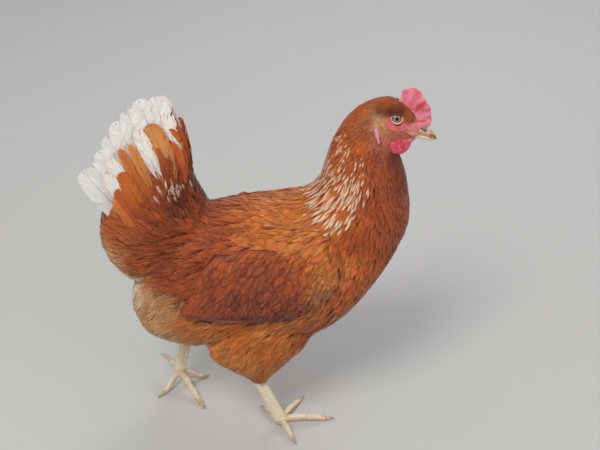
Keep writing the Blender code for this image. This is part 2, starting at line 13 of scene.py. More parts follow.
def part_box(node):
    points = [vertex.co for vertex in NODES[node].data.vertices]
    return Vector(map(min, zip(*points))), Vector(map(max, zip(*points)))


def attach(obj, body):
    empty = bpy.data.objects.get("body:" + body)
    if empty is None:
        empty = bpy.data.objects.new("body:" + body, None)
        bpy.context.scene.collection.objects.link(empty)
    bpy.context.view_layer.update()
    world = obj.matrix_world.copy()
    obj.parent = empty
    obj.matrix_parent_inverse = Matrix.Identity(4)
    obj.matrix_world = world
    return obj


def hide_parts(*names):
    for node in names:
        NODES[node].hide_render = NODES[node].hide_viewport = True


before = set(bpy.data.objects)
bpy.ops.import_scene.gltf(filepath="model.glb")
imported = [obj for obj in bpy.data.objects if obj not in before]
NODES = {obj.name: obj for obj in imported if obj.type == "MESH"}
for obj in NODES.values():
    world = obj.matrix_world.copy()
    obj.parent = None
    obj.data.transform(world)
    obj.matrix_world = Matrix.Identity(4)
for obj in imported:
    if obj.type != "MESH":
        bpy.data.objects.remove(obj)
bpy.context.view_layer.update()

MM = 0.001
SIDES = ("left", "right")
rng = np.random.default_rng(41)


# ---- places taken from the frame


def middle(name):
    """The middle of a CAD node's box."""
    low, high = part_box(name)
    return np.array((low + high) / 2)


EYE = {side: middle("eye_" + side) for side in SIDES}
MIDLINE = float((EYE["left"][1] + EYE["right"][1]) / 2)
EYE_X = float(EYE["right"][0])
EYE_Z = float(EYE["right"][2])
OUTWARD = {"left": 1.0, "right": -1.0}

FEATHERED = ["trunk", "neck", "head", "tail_coverts", "wing_left", "wing_right", "thigh_left", "thigh_right"]
LEGS = ["shank_left", "shank_right", "foot_left", "foot_right"]
BARE = ["comb", "wattle_left", "wattle_right", "earlobe_left", "earlobe_right"]


# ---- colours


def table(row, text):
    """Rows of words and numbers, one to a line, each handed to row."""
    lines = (line.split() for line in text.strip().splitlines())
    return [row(*(word if word[0].isalpha() else float(word) for word in words)) for words in lines]


def linear(*rgb):
    """A colour given as sRGB values up to 255, as the linear values that shaders use."""
    share = np.array(rgb, float) / 255
    return np.where(share <= 0.04045, share / 12.92, ((share + 0.055) / 1.055) ** 2.4)


PALETTE = dict(table(lambda name, *rgb: (name, linear(*rgb)), """
    rufous 186 86 36
    copper 206 108 44
    orange 216 130 60
    gold 222 152 86
    chestnut 156 74 44
    maroon 134 64 46
    umber 88 38 26
    buff 208 140 82
    sand 224 182 132
    tan 206 164 112
    grey_tan 150 116 88
    cream 250 226 194
    white 248 243 238
    blaze 214 140 92
    rose 226 134 108
    ear 228 168 112
    """))
FACE_RED = linear(214, 92, 88)
FACE_DEEP = linear(160, 44, 52)
FACE_PALE = linear(232, 146, 128)
COMB_PINK = linear(232, 92, 108)
COMB_PALE = linear(250, 160, 168)
COMB_DEEP = linear(186, 36, 58)
WATTLE_RED = linear(222, 58, 88)
FACE_SALMON = linear(226, 112, 98)
# painted highlight: the pale light along the comb's crinkled rims
COMB_RIM_HIGHLIGHT = linear(250, 196, 184)
COMB_LILAC = linear(240, 150, 178)
CERE_PINK = linear(232, 128, 140)
RICTUS = linear(240, 196, 168)
LOBE_PINK = linear(238, 178, 200)
LID_CREAM = linear(240, 214, 182)
LEG_CREAM = linear(246, 236, 204)
LEG_PINK = linear(236, 204, 180)
LEG_SHADE = linear(206, 182, 142)


# ---- the lie and look of the feathers, by tract

Tract = namedtuple("Tract", "x z turn length width kind main second fleck", defaults=(0,))
# Place, length and width in mm; the turn in degrees in side view (180 is tailward, 270 is down); the sort of
# feather; the two colours that they vary between; and the share with a pale fleck, where there is one.
BODY_TRACTS = table(Tract, """
    154 375 150 4.2 1.6 fine rufous copper
    155.5 370.5 138 4 1.5 fine copper orange
    158 366 128 4 1.5 fine rufous copper
    150 384.5 160 4.5 1.7 fine rufous copper
    132 386 182 5 1.8 fine rufous copper
    140 388 172 5 1.9 fine copper rufous
    120 390 186 6.5 2.2 lance rufous copper
    147 376.8 168 4 1.6 fine umber umber
    136 378.8 180 4.5 1.7 fine umber umber
    126 379.8 192 5.5 1.9 lance umber maroon
    122.5 372.2 215 3.4 1.3 fine sand ear
    120 367.5 225 3.4 1.3 fine sand ear
    127 363 228 2.8 1.1 fine ear rose
    132 353 226 2.6 1.1 fine rose rose
    142 354 214 2.4 1 fine rose rose
    150 350 214 2.4 1 fine rose rose
    124 346 240 4 1.6 lance chestnut rose
    141 334 250 5 2.2 lance umber chestnut
    115 371 226 6 2 lance maroon rufous
    111 360 234 7 2.4 lance rufous chestnut
    108 380 204 8 2.4 lance rufous copper
    96 374 222 11 2.6 lance rufous copper
    104 350 244 12 2.7 lance rufous copper 0.15
    116 338 256 10 3 lance chestnut rufous
    84 352 246 14 2.8 lance rufous copper 0.35
    100 330 254 16 3.1 lance rufous copper 0.5
    124 322 264 16 3.3 lance chestnut rufous
    150 312 276 13 3.3 lance chestnut umber
    77 322 248 19 3.5 lance rufous orange 0.95
    96 304 250 21 3.8 lance rufous orange 0.95
    118 294 260 21 4.2 lance rufous chestnut
    150 280 272 18 4.6 lance chestnut rufous
    46 288 214 24 4.6 lance copper orange
    73 298 236 24 4.6 lance rufous orange 1
    84 280 240 25 5 lance copper orange 0.9
    64 266 230 25 5 lance copper gold
    88 256 240 24 5.2 lance rufous copper
    50 250 216 24 7 vane orange copper
    106 266 248 24 4.8 lance rufous chestnut
    140 248 262 20 5.6 lance chestnut rufous
    118 222 248 21 7 vane rufous copper
    140 212 250 19 7 vane rufous chestnut
    88 235 232 22 7 vane copper gold
    100 190 230 22 7 vane rufous copper
    125 180 230 20 7 vane rufous copper
    74 160 214 23 6.6 silk rufous buff
    80 130 205 22 6.4 silk rufous chestnut
    30 150 210 24 6.8 silk copper buff
    30 110 205 22 6.4 silk copper buff
    26 272 196 23 7 vane orange copper
    -8 267 188 21 7 vane rufous orange
    -40 264 184 21 6.6 vane chestnut rufous
    -30 248 196 22 7 vane rufous chestnut
    -62 246 186 23 6.6 vane rufous chestnut
    -60 225 204 24 7.2 silk chestnut rufous
    -62 272 128 16 6 silk rufous chestnut
    -78 274 142 20 6.8 silk umber maroon
    -85 283 110 14 4.6 silk chestnut umber 1
    -74 300 98 30 8 vane chestnut rufous
    -84 322 98 32 9 vane rufous copper
    -90 345 98 32 9.5 vane copper orange
    -104 345 104 30 9 vane orange copper
    -100 374 98 26 9.5 vane white cream
    -120 368 106 28 9.5 vane white blaze
    -92 300 112 28 8 silk rufous chestnut
    -114 325 114 34 9.5 vane copper orange
    -134 345 118 32 9.5 vane white blaze
    -105 268 142 26 8 silk rufous chestnut
    -126 298 124 32 9 silk copper orange
    -138 318 124 34 9.5 vane white orange
    -132 264 146 26 8 silk rufous copper
    -152 302 130 32 9.5 vane white cream
    -154 280 136 28 8.5 vane cream blaze
    -100 238 172 25 7.6 silk chestnut rufous
    -150 250 158 25 7.6 silk rufous copper
    -166 228 172 26 7 silk buff copper
    -152 206 186 24 7 silk sand buff
    -88 205 206 25 7.4 silk chestnut rufous
    -118 212 200 25 7.4 silk rufous copper
    -136 182 214 24 7 silk cream sand
    -128 156 224 23 7 silk sand buff
    -104 172 212 24 7 silk buff sand
    -96 130 222 22 6.6 silk sand buff
    -70 150 212 24 6.8 silk copper buff
    -45 112 218 22 6.6 silk orange buff
    -12 145 216 24 6.8 silk copper orange
    -12 104 240 20 6.2 silk orange buff
    24 124 228 23 6.4 silk copper orange
    16 86 246 16 5.4 silk orange copper
    0 72 252 11 4.4 silk copper grey_tan
    -70 95 236 16 5.8 silk buff copper
    """)
WING_TRACTS = table(Tract, """
    76 238 238 16 6.5 vane orange copper
    50 250 228 19 7.5 vane copper rufous
    80 215 236 15 6 vane copper buff
    72 203 230 18 6.5 scale grey_tan copper
    58 192 238 22 7.5 scale maroon chestnut
    40 224 242 23 8.5 scale chestnut rufous
    10 252 216 22 8 vane rufous chestnut
    10 228 238 25 9 scale maroon chestnut
    38 200 247 24 8.5 scale maroon chestnut
    26 182 247 24 8 scale maroon umber
    -10 203 246 27 9.5 scale maroon chestnut
    -5 176 246 24 8 scale maroon umber
    -32 236 226 27 9 scale chestnut rufous
    -38 206 238 31 9.5 scale maroon rufous
    -36 172 240 24 8.5 scale maroon umber
    -56 226 230 30 9 scale chestnut rufous
    -58 200 238 30 9.5 scale chestnut maroon
    -74 196 238 28 9 none rufous maroon
    -76 172 238 28 9 none maroon umber
    """)


class Plumage:
    """Blends a list of tracts, so that each value is known at any place of the side view."""

    REACH = 5 * MM  # within this of a tract's place, no other tract counts for much

    def __init__(self, tracts):
        self.places = np.array([(t.x, t.z) for t in tracts]) / 1000
        turns = np.radians([t.turn for t in tracts])
        self.flow = np.stack([np.cos(turns), np.sin(turns)], axis=1)
        self.sizes = np.array([(t.length, t.width, t.fleck) for t in tracts])
        self.main = np.array([PALETTE[t.main] for t in tracts])
        self.second = np.array([PALETTE[t.second] for t in tracts])
        self.kinds = np.array([t.kind for t in tracts])

    def shares(self, points):
        away = points[:, None, [0, 2]] - self.places[None]
        near = 1 / ((away**2).sum(2) + self.REACH**2) ** 2
        return near / near.sum(1, keepdims=True)


PLUMAGE = {"body": Plumage(BODY_TRACTS), "wing": Plumage(WING_TRACTS)}


def askings(on_wing):
    """Each plumage, and which points it tells about."""
    return (PLUMAGE["body"], ~on_wing), (PLUMAGE["wing"], on_wing)


def blended(points, on_wing, field):
    """One of a plumage's values at these points, from the body's tracts or the wing's."""
    made = np.zeros((len(points), getattr(PLUMAGE["body"], field).shape[1]))
    for told, chosen in askings(on_wing):
        if chosen.any():
            made[chosen] = told.shares(points[chosen]) @ getattr(told, field)
    return made


def kind_of(points, on_wing):
    """The sort of feather at each point, drawn by chance where tracts meet."""
    kinds = np.empty(len(points), object)
    for told, chosen in askings(on_wing):
        if chosen.any():
            edges = told.shares(points[chosen]).cumsum(1)
            draw = rng.random((chosen.sum(), 1))
            kinds[chosen] = told.kinds[np.minimum((edges < draw).sum(1), len(told.kinds) - 1)]
    return kinds


# ---- meshes and surfaces


def welded(name):
    """A CAD node's points and triangles with its split points joined again."""
    points, faces = mesh_arrays(NODES[name].data)
    _, first, index = np.unique(np.round(points, 6), axis=0, return_index=True, return_inverse=True)
    faces = index.reshape(-1)[faces]
    real = (faces != np.roll(faces, 1, axis=1)).all(1)
    return points[first], faces[real]


def corner_normals(points, faces):
    """Unit normals at the points, each the sum of its faces'."""
    flat = np.cross(points[faces[:, 1]] - points[faces[:, 0]], points[faces[:, 2]] - points[faces[:, 0]])
    normals = np.zeros_like(points)
    for corner in range(3):
        np.add.at(normals, faces[:, corner], flat)
    return unit(normals)


def unit(vectors):
    """The same directions at length 1."""
    return vectors / np.maximum(np.linalg.norm(vectors, axis=-1, keepdims=True), 1e-12)


def joined(names, grow):
    """These nodes in one list of points and faces, grown a little to close gaps, and each face's node."""
    points, faces, owners, start = [], [], [], 0
    for number, name in enumerate(names):
        own, triangles = welded(name)
        points.append(own + grow * corner_normals(own, triangles))
        faces.append(triangles + start)
        owners.append(np.full(len(triangles), number))
        start += len(own)
    return np.concatenate(points), np.concatenate(faces), np.concatenate(owners)


def mesh_arrays(mesh):
    """A mesh's points and triangles."""
    mesh.calc_loop_triangles()
    points = np.empty(len(mesh.vertices) * 3, np.float32)
    mesh.vertices.foreach_get("co", points)
    faces = np.empty(len(mesh.loop_triangles) * 3, np.int32)
    mesh.loop_triangles.foreach_get("vertices", faces)
    return points.reshape(-1, 3).astype(float), faces.reshape(-1, 3)


def set_up(thing, **settings):
    """Sets these attributes of a modifier, a node, a light or a lens."""
    for key, value in settings.items():
        setattr(thing, key, value)
    return thing


def new_object(name, data):
    """An object in the scene that holds this mesh, light or lens."""
    made = bpy.data.objects.new(name, data)
    bpy.context.scene.collection.objects.link(made)
    return made


def evaluated(work):
    """A new mesh of what the work object's modifiers make of it. The object is then done with."""
    made = bpy.data.meshes.new_from_object(work.evaluated_get(bpy.context.evaluated_depsgraph_get()))
    bpy.data.objects.remove(work)
    return made


def remeshed(points, faces, voxel, smoothing):
    """The closed surface round these faces, as a new mesh of small even quads."""
    mesh = bpy.data.meshes.new("work")
    mesh.from_pydata(points.tolist(), [], faces.tolist())
    work = new_object("work", mesh)
    set_up(work.modifiers.new("voxels", "REMESH"), mode="VOXEL", voxel_size=voxel)
    set_up(work.modifiers.new("smooth", "SMOOTH"), factor=0.5, iterations=smoothing)
    return evaluated(work)


class Surface:
    """Triangles that tell, for many points at once, the nearest place, its smooth normal and its face."""

    def __init__(self, points, faces):
        self.points, self.faces = points, faces
        self.normals = corner_normals(points, faces)
        self.tree = BVHTree.FromPolygons(points.tolist(), faces.tolist())

    def nearest(self, points):
        hits = [self.tree.find_nearest(p) for p in points.tolist()]
        places = np.array([tuple(hit[0]) for hit in hits])
        chosen = np.array([hit[2] for hit in hits])
        corners = self.points[self.faces[chosen]] - places[:, None]
        opposite = [np.cross(corners[:, (k + 1) % 3], corners[:, (k + 2) % 3]) for k in range(3)]
        shares = np.linalg.norm(opposite, axis=-1).T + 1e-15
        shares /= shares.sum(1, keepdims=True)
        return places, unit((self.normals[self.faces[chosen]] * shares[:, :, None]).sum(1)), chosen


def build_object(name, points, polygons, colours=None):
    """A new mesh object from arrays. Polygons all have the same number of corners."""
    mesh = bpy.data.meshes.new(name)
    count, corners = polygons.shape
    mesh.vertices.add(len(points))
    mesh.vertices.foreach_set("co", points.astype(np.float32).ravel())
    mesh.loops.add(count * corners)
    mesh.loops.foreach_set("vertex_index", polygons.astype(np.int32).ravel())
    mesh.polygons.add(count)
    mesh.polygons.foreach_set("loop_start", np.arange(0, count * corners, corners, dtype=np.int32))
    mesh.polygons.foreach_set("use_smooth", np.ones(count, bool))
    mesh.update(calc_edges=True)
    if colours is not None:
        paint(mesh, colours)
    return new_object(name, mesh)


def keep_map(piece, places):
    """The piece's own map for the bake: a place on the unit square for each corner of its faces."""
    piece.data.uv_layers.new(name="OFBake").data.foreach_set("uv", places.astype(np.float32).ravel())


def paint(mesh, colours):
    """Keeps linear colours at the mesh's points, for the materials' Attribute node."""
    layer = mesh.color_attributes.new("MarkingsAndPaintedLight", "FLOAT_COLOR", "POINT")
    full = np.ones((len(colours), 4), np.float32)
    full[:, :3] = colours
    layer.data.foreach_set("color", full.ravel())


def grid_quads(rings, spokes, closed=False):
    """Quads between rings of as many points as spokes. Closed, the last ring is joined to the first."""
    ring, spoke = np.arange(rings if closed else rings - 1)[:, None], np.arange(spokes)[None]
    here, after, beside = ring * spokes, (ring + 1) % rings * spokes, (spoke + 1) % spokes
    return np.stack([here + spoke, after + spoke, after + beside, here + beside], axis=-1).reshape(-1, 4)


def circle(count):
    """Angles evenly round a circle."""
    return np.linspace(0, 2 * math.pi, count, endpoint=False)


def crossed(rows, columns):
    """Each of one list's values with each of the other's, as two flat lists."""
    return [grid.ravel() for grid in np.meshgrid(rows, columns, indexing="ij")]


def run_along(line):
    """How far along a line each of its points is."""
    return np.concatenate([[0], np.linalg.norm(np.diff(line, axis=0), axis=1).cumsum()])


def away_from(places, a, b):
    """How far places are from the straight line between a and b."""
    along = np.clip(((places - a) @ (b - a)) / ((b - a) @ (b - a)), 0, 1)
    return np.linalg.norm(places - a - along[:, None] * (b - a), axis=1)


def in_box(name, x, z):
    """A place in side view, given by shares of a CAD node's box."""
    low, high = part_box(name)
    return np.array([mixed(low.x, high.x, x), mixed(low.z, high.z, z)])


def from_side(tree, x, z, outward):
    """What a ray meets that comes in from the side at a place in side view: first where, then its normal."""
    return tree.ray_cast(Vector((x, MIDLINE + outward * 0.3, z)), Vector((0, -outward, 0)))


def smoothstep(low, high, values):
    """0 up to low, 1 from high, and a smooth rise between."""
    share = np.clip((values - low) / (high - low), 0, 1)
    return share * share * (3 - 2 * share)


def bell(values, width):
    """1 where the values are 0, and near 0 from twice the width away."""
    return np.exp(-((values / width) ** 2))


def mixed(a, b, share):
    """a where the share is 0, b where it is 1, and between them in proportion."""
    return a + (b - a) * share


def layered(colours, *layers):
    """Colours moved towards each layer's tone in turn, at every point by the layer's share there."""
    for tone, share in layers:
        colours = mixed(colours, tone, share[:, None])
    return colours


def ripples(points, scale, seed):
    """Soft noise from -1 to 1: a few sine waves in directions drawn from the seed."""
    draw = np.random.default_rng(seed)
    total = np.zeros(len(points))
    for _ in range(7):
        direction = unit(draw.normal(size=3)) * draw.uniform(0.7, 1.6) / scale
        total += np.sin(points @ direction * 2 * math.pi + draw.uniform(0, 2 * math.pi))
    return total / 4


# ---- the face's parts, in mm from the eye's middle

BARE_FACE = [(-13, 3), (-10, 6), (-5, 7.2), (0, 7.6), (6.5, 6), (9.5, 2.5), (14, -3), (18.5, -4.5), (22, 0)]
BARE_FACE += [(40, 2), (40, -27), (16, -19.5), (12, -14.5), (6, -11.5), (0, -11), (-7, -8.5), (-12, -3)]


def face_place(points):
    """Side-view places of points in mm from the eye's middle: forward and up."""
    return np.stack([points[:, 0] - EYE_X, points[:, 2] - EYE_Z], axis=1) / MM


def inside_by(places, corners):
    """How far places lie inside a closed outline; it is negative outside."""
    corners = np.array(corners, float)
    after = np.roll(corners, -1, axis=0)
    least = np.full(len(places), 1e9)
    crossings = np.zeros(len(places), int)
    for a, b in zip(corners, after):
        least = np.minimum(least, away_from(places, a, b))
        spans = (a[1] > places[:, 1]) != (b[1] > places[:, 1])
        level = a[0] + (places[:, 1] - a[1]) * (b[0] - a[0]) / (b[1] - a[1] if b[1] != a[1] else 1e-9)
        crossings += spans & (places[:, 0] < level)
    return np.where(crossings % 2 == 1, least, -least)


def bareness(points):
    """1 on the bare face, 0 under feathers."""
    return smoothstep(-1.0, 1.2, inside_by(face_place(points), BARE_FACE))


DEPTH_ON_BODY, DEPTH_ON_HEAD = 4.2 * MM, 1.3 * MM


def coat_depth(points, head):
    """How far the skin lies under the tips of the coat."""
    return mixed(DEPTH_ON_BODY, DEPTH_ON_HEAD * (1 - bareness(points)), head)


def headness(points):
    """1 on the head, 0 from the neck down."""
    low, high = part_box("head")
    leaning = points[:, 0] + 0.6 * (points[:, 2] - high.z + 30 * MM)
    return smoothstep(low.x - 2 * MM, low.x + 22 * MM, leaning)


# ---- the plumage's outer form, which roots are drawn on

FORM_GROWN, FORM_VOXEL, FORM_SMOOTHING = 0.6 * MM, 1.7 * MM, 8

form_mesh = remeshed(*joined(FEATHERED, FORM_GROWN)[:2], FORM_VOXEL, FORM_SMOOTHING)
form = Surface(*mesh_arrays(form_mesh))
source_points, source_faces, source_owner = joined(FEATHERED, 0)
source = Surface(source_points, source_faces)


def wing_outline(side):
    """The wing's lower and upper edges in side view: heights at places along it."""
    tree = Surface(*welded("wing_" + side)).tree
    low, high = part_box("wing_" + side)
    columns = np.linspace(low.x + MM, high.x - MM, 48)
    levels = np.arange(low.z, high.z, MM)
    ends = []
    for x in columns:
        met = [z for z in levels if from_side(tree, x, z, OUTWARD[side])[0] is not None]
        ends.append((met[0], met[-1]) if met else (low.z, high.z))
    return columns, np.array(ends)


WING_OUTLINE = {side: wing_outline(side) for side in SIDES}
BACK_OVER_WING = 12 * MM  # the back's feathers lie over this much of the wing's upper edge


def wing_edge(points, which):
    """The height of the wing's lower (0) or upper (1) edge over or under each point."""
    left, right = (np.interp(points[:, 0], along, ends[:, which]) for along, ends in WING_OUTLINE.values())
    return np.where(points[:, 1] > MIDLINE, left, right)


def is_wing(points):
    """True where the nearest CAD node is a wing, but for its upper edge."""
    names = np.array(FEATHERED)[source_owner[source.nearest(points)[2]]]
    return np.char.startswith(names, "wing_") & (points[:, 2] < wing_edge(points, 1) - BACK_OVER_WING)


def tangent(directions, normals):
    """Directions laid flat on a surface with these normals."""
    return unit(directions - (directions * normals).sum(1, keepdims=True) * normals)


def lie(points, normals, on_wing):
    """The way feathers point at these places of the surface."""
    flow = blended(points, on_wing, "flow")
    ahead = np.stack([flow[:, 0], np.zeros(len(flow)), flow[:, 1]], axis=1)
    return tangent(ahead, normals)


# ---- feather patterns

Pattern = namedtuple("Pattern", "u v lift barb margin faces")
SHAFT_STEPS = 4


def rounded(u):
    """Half width along a big tail or wing feather, as a share of its widest."""
    rise = np.minimum(1, (np.maximum(u, 0) / 0.4) ** 0.7)
    return rise * np.sqrt(np.clip(1 - np.clip((u - 0.66) / 0.34, 0, 1) ** 2.6, 0, 1))


def oval(u):
    """Half width along a body feather."""
    rise = np.minimum(1, (np.maximum(u, 0) / 0.4) ** 0.7)
    return rise * np.clip(1 - np.clip((u - 0.50) / 0.50, 0, 1) ** 2.1, 0, 1) ** 0.75


def pointed(u):
    """Half width along a hackle feather."""
    rise = np.minimum(1, (np.maximum(u, 0) / 0.45) ** 0.8)
    return rise * np.clip(1 - np.clip((u - 0.5) / 0.5, 0, 1) ** 1.7, 0, 1)


def feather_pattern(
    barbs, sweep, outline, closing, seed, uneven, first=0.06, shaft=0.0, rows=(0.6, 1.0), notches=0
):
    """A flat feather: barbs sweep forward from the shaft to the outline, each a bent strip of a few quads.

    closing is how much of a barb's share of the margin it fills: at 1 the vane is closed.
    """
    draw = np.random.default_rng(seed)
    dots, faces = [], []

    def strip(steps, number):
        start = len(dots)
        for near, beyond, raised, outer in steps:
            dots.extend([(*near, raised, number, outer), (*beyond, raised, number, outer)])
        faces.extend((low, low + 1, low + 3, low + 2) for low in range(start, len(dots) - 2, 2))

    step = (0.95 - first) / barbs
    for side in (-1, 1):
        worn = np.ones(barbs)
        for _ in range(notches):
            middle_barb = int(barbs * draw.uniform(0.40, 0.98))
            worn[middle_barb : middle_barb + draw.integers(1, 4)] = draw.uniform(0.65, 0.88)
        for k in range(barbs):
            a = first + step * k
            b = a + step * 1.12
            end = min(a + sweep * worn[k] * (1 + uneven * draw.normal()) * (1 - 0.35 * a), 1.0)
            far = min(end + step * closing * draw.uniform(0.85, 1.2), 1.0)
            ragged = (1 + 0.5 * uneven * draw.normal()) * worn[k]
            wide = max(float(outline(np.array(end))) * ragged, 0.02)
            wide_far = max(float(outline(np.array(far))) * ragged, 0.01)
            raised = 0.06 * uneven * draw.normal()
            steps = [((a, 0.0), (b, 0.0), 0.0, 0.0)]
            for row in rows:
                run = row**1.5
                spread = max(0.12 * (1 - row), 0)
                near = (a + run * (end - a), side * (row * wide + spread))
                beyond = (b + run * (far - b), side * (row * wide_far + spread))
                steps.append((near, beyond, raised * row, row))
            strip(steps, 1 + k + (barbs if side > 0 else 0))
    if shaft:
        ends = np.linspace(0, 0.97, SHAFT_STEPS + 1)
        strip([((e, -shaft * (1.1 - e)), (e, shaft * (1.1 - e)), 0.03, 0.0) for e in ends], 0)
    u, v, lift, barb, margin = np.array(dots).T.copy()
    return Pattern(u, v, lift, barb.astype(int), margin, np.array(faces))


def pattern_family(count, first_seed, *shape, **details):
    """Several patterns of one shape that differ by chance."""
    return [feather_pattern(*shape, first_seed + number, **details) for number in range(count)]


PATTERNS = {
    "vane": pattern_family(6, 0, 10, 0.34, pointed, 0.9, shaft=0.05, uneven=0.12),
    "scale": pattern_family(6, 50, 11, 0.30, oval, 1.0, shaft=0.07, uneven=0.07, rows=(0.5, 0.82, 1.0)),
    "lance": pattern_family(6, 10, 7, 0.32, pointed, 0.75, uneven=0.12),
    "fine": pattern_family(5, 60, 3, 0.36, pointed, 0.8, uneven=0.15),
    "silk": pattern_family(6, 20, 9, 0.50, pointed, 0.5, uneven=0.20),
    "flight": pattern_family(
        4, 70, 34, 0.16, rounded, 1.0, first=0.02, shaft=0.06, uneven=0.05, rows=(0.5, 0.85, 1.0)
    ),
    "tail": pattern_family(8, 30, 52, 0.13, rounded, 1.3, first=0.02, shaft=0.035, uneven=0.035, notches=2),
    "plume": pattern_family(6, 90, 40, 0.20, rounded, 1.3, first=0.02, shaft=0.035, uneven=0.06, notches=1),
}
SPINE_STEPS = 5
RUNS = [step / SPINE_STEPS for step in range(SPINE_STEPS + 1)]  # where a spine's points are, by its length


def spine_weights(u, steps):
    """How much each spine point counts at each place along the shaft: a Catmull-Rom curve."""
    weights = np.zeros((len(u), steps + 1))
    at = np.clip(u, 0, 1) * steps
    low = np.minimum(at.astype(int), steps - 1)
    t = at - low
    shares = (
        (-t + 2 * t**2 - t**3) / 2,
        (2 - 5 * t**2 + 3 * t**3) / 2,
        (t + 4 * t**2 - 3 * t**3) / 2,
        (-(t**2) + t**3) / 2,
    )
    for offset, share in zip((-1, 0, 1, 2), shares):
        np.add.at(weights, (np.arange(len(u)), np.clip(low + offset, 0, steps)), share)
    return weights


Shafts = namedtuple("Shafts", "places ups")


def taken(rows, part):
    """The same rows for only these feathers."""
    return type(rows)(*(values[part] for values in rows))


def grow_shafts(roots, normals, on_wing, lengths, turn):
    """Shafts that leave along the lie of the coat, keep to the form, and go straight on over an edge."""
    places, ups = [roots], [normals]
    ahead = None
    for _ in range(SPINE_STEPS):
        here, up = places[-1], ups[-1]
        flow = lie(here, up, on_wing)
        side = np.cross(up, flow)
        flow = flow * np.cos(turn)[:, None] + side * np.sin(turn)[:, None]
        ahead = flow if ahead is None else tangent(0.5 * ahead + 0.5 * flow, up)
        stride = (lengths / SPINE_STEPS)[:, None]
        free = here + ahead * stride
        found, found_up, _ = form.nearest(free)
        drop = ((free - found) * found_up).sum(1)
        bend = (up * found_up).sum(1)
        over = ((drop > 0.30 * stride[:, 0]) | (bend < 0.6))[:, None]
        places.append(np.where(over, free - 0.10 * stride * up, found))
        ups.append(np.where(over, unit(0.9 * up + 0.1 * ahead), found_up))
    return Shafts(np.stack(places, 1), np.stack(ups, 1))


# ---- an unwrap of the hen's own shape, for the bake's map

PATCH = 0.003  # the size of one feather's or plate's patch on the map
# The middle line of trunk, neck and head in side view, from tail to bill.
SPINE_LINE = np.array(
    [(-0.165, 0.330), (-0.130, 0.270), (-0.080, 0.205), (0.000, 0.190), (0.070, 0.215), (0.105, 0.262)]
    + [(0.112, 0.310), (0.118, 0.350), (0.150, 0.362), (0.185, 0.350)]
)


def unwrap(points, on_wing):
    """A place on the unit square for each point: along the hen's middle line and round it, wings below."""
    steps = np.linspace(0, 1, 24, endpoint=False)[:, None]
    dense = np.concatenate([mixed(a, b, steps) for a, b in zip(SPINE_LINE, SPINE_LINE[1:])])
    run = run_along(dense)
    ahead = unit(np.gradient(dense, axis=0))
    flat = points[:, [0, 2]]
    chosen = np.concatenate(
        [((part[:, None] - dense[None]) ** 2).sum(2).argmin(1) for part in np.array_split(flat, 40)]
    )
    away = flat - dense[chosen]
    upward = away[:, 1] * ahead[chosen, 0] - away[:, 0] * ahead[chosen, 1]
    round_it = np.arctan2(points[:, 1] - MIDLINE, upward) / (2 * math.pi) + 0.5
    along = run[chosen] / run[-1]
    body = np.stack([0.01 + 0.98 * along, 0.32 + 0.67 * round_it], axis=1)
    low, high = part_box("wing_right")
    share = (flat - (low.x - 0.03, low.z - 0.03)) / (high.x - low.x + 0.06, high.z - low.z + 0.06)
    island = np.where(points[:, 1] > MIDLINE, 0.5, 0.0)
    wing = np.stack([island + 0.01 + 0.48 * share[:, 0], 0.01 + 0.28 * share[:, 1]], axis=1)
    return np.clip(np.where(on_wing[:, None], wing, body), 0.004, 0.996)


# ---- feathers as meshes


def feather_piece(name, pattern, shafts, half_widths, heights, twist, colours, anchors):
    """One mesh of many feathers of one pattern. Heights are (at the root, at the tip) over the form."""
    weights = spine_weights(pattern.u, shafts.places.shape[1] - 1)
    middle_line = np.einsum("mk,nkd->nmd", weights, shafts.places)
    up = unit(np.einsum("mk,nkd->nmd", weights, shafts.ups))
    steps = np.gradient(shafts.places, axis=1)
    along = unit(np.einsum("mk,nkd->nmd", weights, steps))
    across = unit(np.cross(along, up))
    across = across * np.cos(twist)[:, None, None] + up * np.sin(twist)[:, None, None]
    u, v = pattern.u[None, :, None], pattern.v[None, :, None]
    wide = half_widths[:, None, None]
    root, tip = heights[:, 0, None, None], heights[:, 1, None, None]
    rise = root * (1 - np.clip(u, 0, 1)) ** 1.4 + tip * u**2
    cup = pattern.lift[None, :, None] * wide - 0.07 * v**2 * wide
    points = middle_line + across * v * wide + up * (rise + cup)
    count, size = points.shape[:2]
    polygons = pattern.faces[None] + np.arange(count)[:, None, None] * size
    piece = build_object(name, points.reshape(-1, 3), polygons.reshape(-1, 4), colours.reshape(-1, 3))
    patch = (np.stack([pattern.u, pattern.v], axis=1) - (0.5, 0.0)) * (PATCH, PATCH / 2)
    keep_map(piece, (anchors[:, None, :] + patch).reshape(-1, 2)[polygons.reshape(-1)])
    return piece


Tints = namedtuple("Tints", "main second fleck bright streak rim")  # of each feather


def feather_colours(pattern, tints):
    """Linear colours over each feather: darker at its root, some with a pale shaft or a pale fleck."""
    count = len(tints.main)
    fleck, bright, streak, rim = (values[:, None, None] for values in tints[2:])
    u = pattern.u[None, :, None]
    v = np.abs(pattern.v)[None, :, None]
    share = 0.85 * rng.random((count, 1, 1)) ** 1.2
    base = mixed(tints.main[:, None, :], tints.second[:, None, :], share)
    shade = 0.60 + 0.40 * smoothstep(0.10, 0.70, u)
    colour = base * shade * barb_tones(pattern, count, 0.09) * bright
    # Darker edges: part a dark lacing, part painted shade where the feathers overlap.
    edge = smoothstep(0.62, 1.0, pattern.margin)[None, :, None] * smoothstep(0.25, 0.55, u)
    colour = colour * (1 - rim * edge)
    line = (pattern.barb == 0)[None, :, None] * streak * smoothstep(0.15, 0.5, u)
    colour = mixed(colour, PALETTE["tan"], 0.75 * line)
    spot = (1 - smoothstep(0.22, 0.62, v)) * smoothstep(0.48, 0.62, u) * fleck
    return mixed(colour, PALETTE["cream"], 0.96 * spot)


def barb_tones(pattern, count, spread):
    """A factor round 1 for each barb of each feather, one value to a point."""
    return 1 + spread * rng.normal(size=(count, pattern.barb.max() + 1))[:, pattern.barb][:, :, None]


STRETCH = 1.8  # how many times farther apart roots are along the lie of the coat than across it


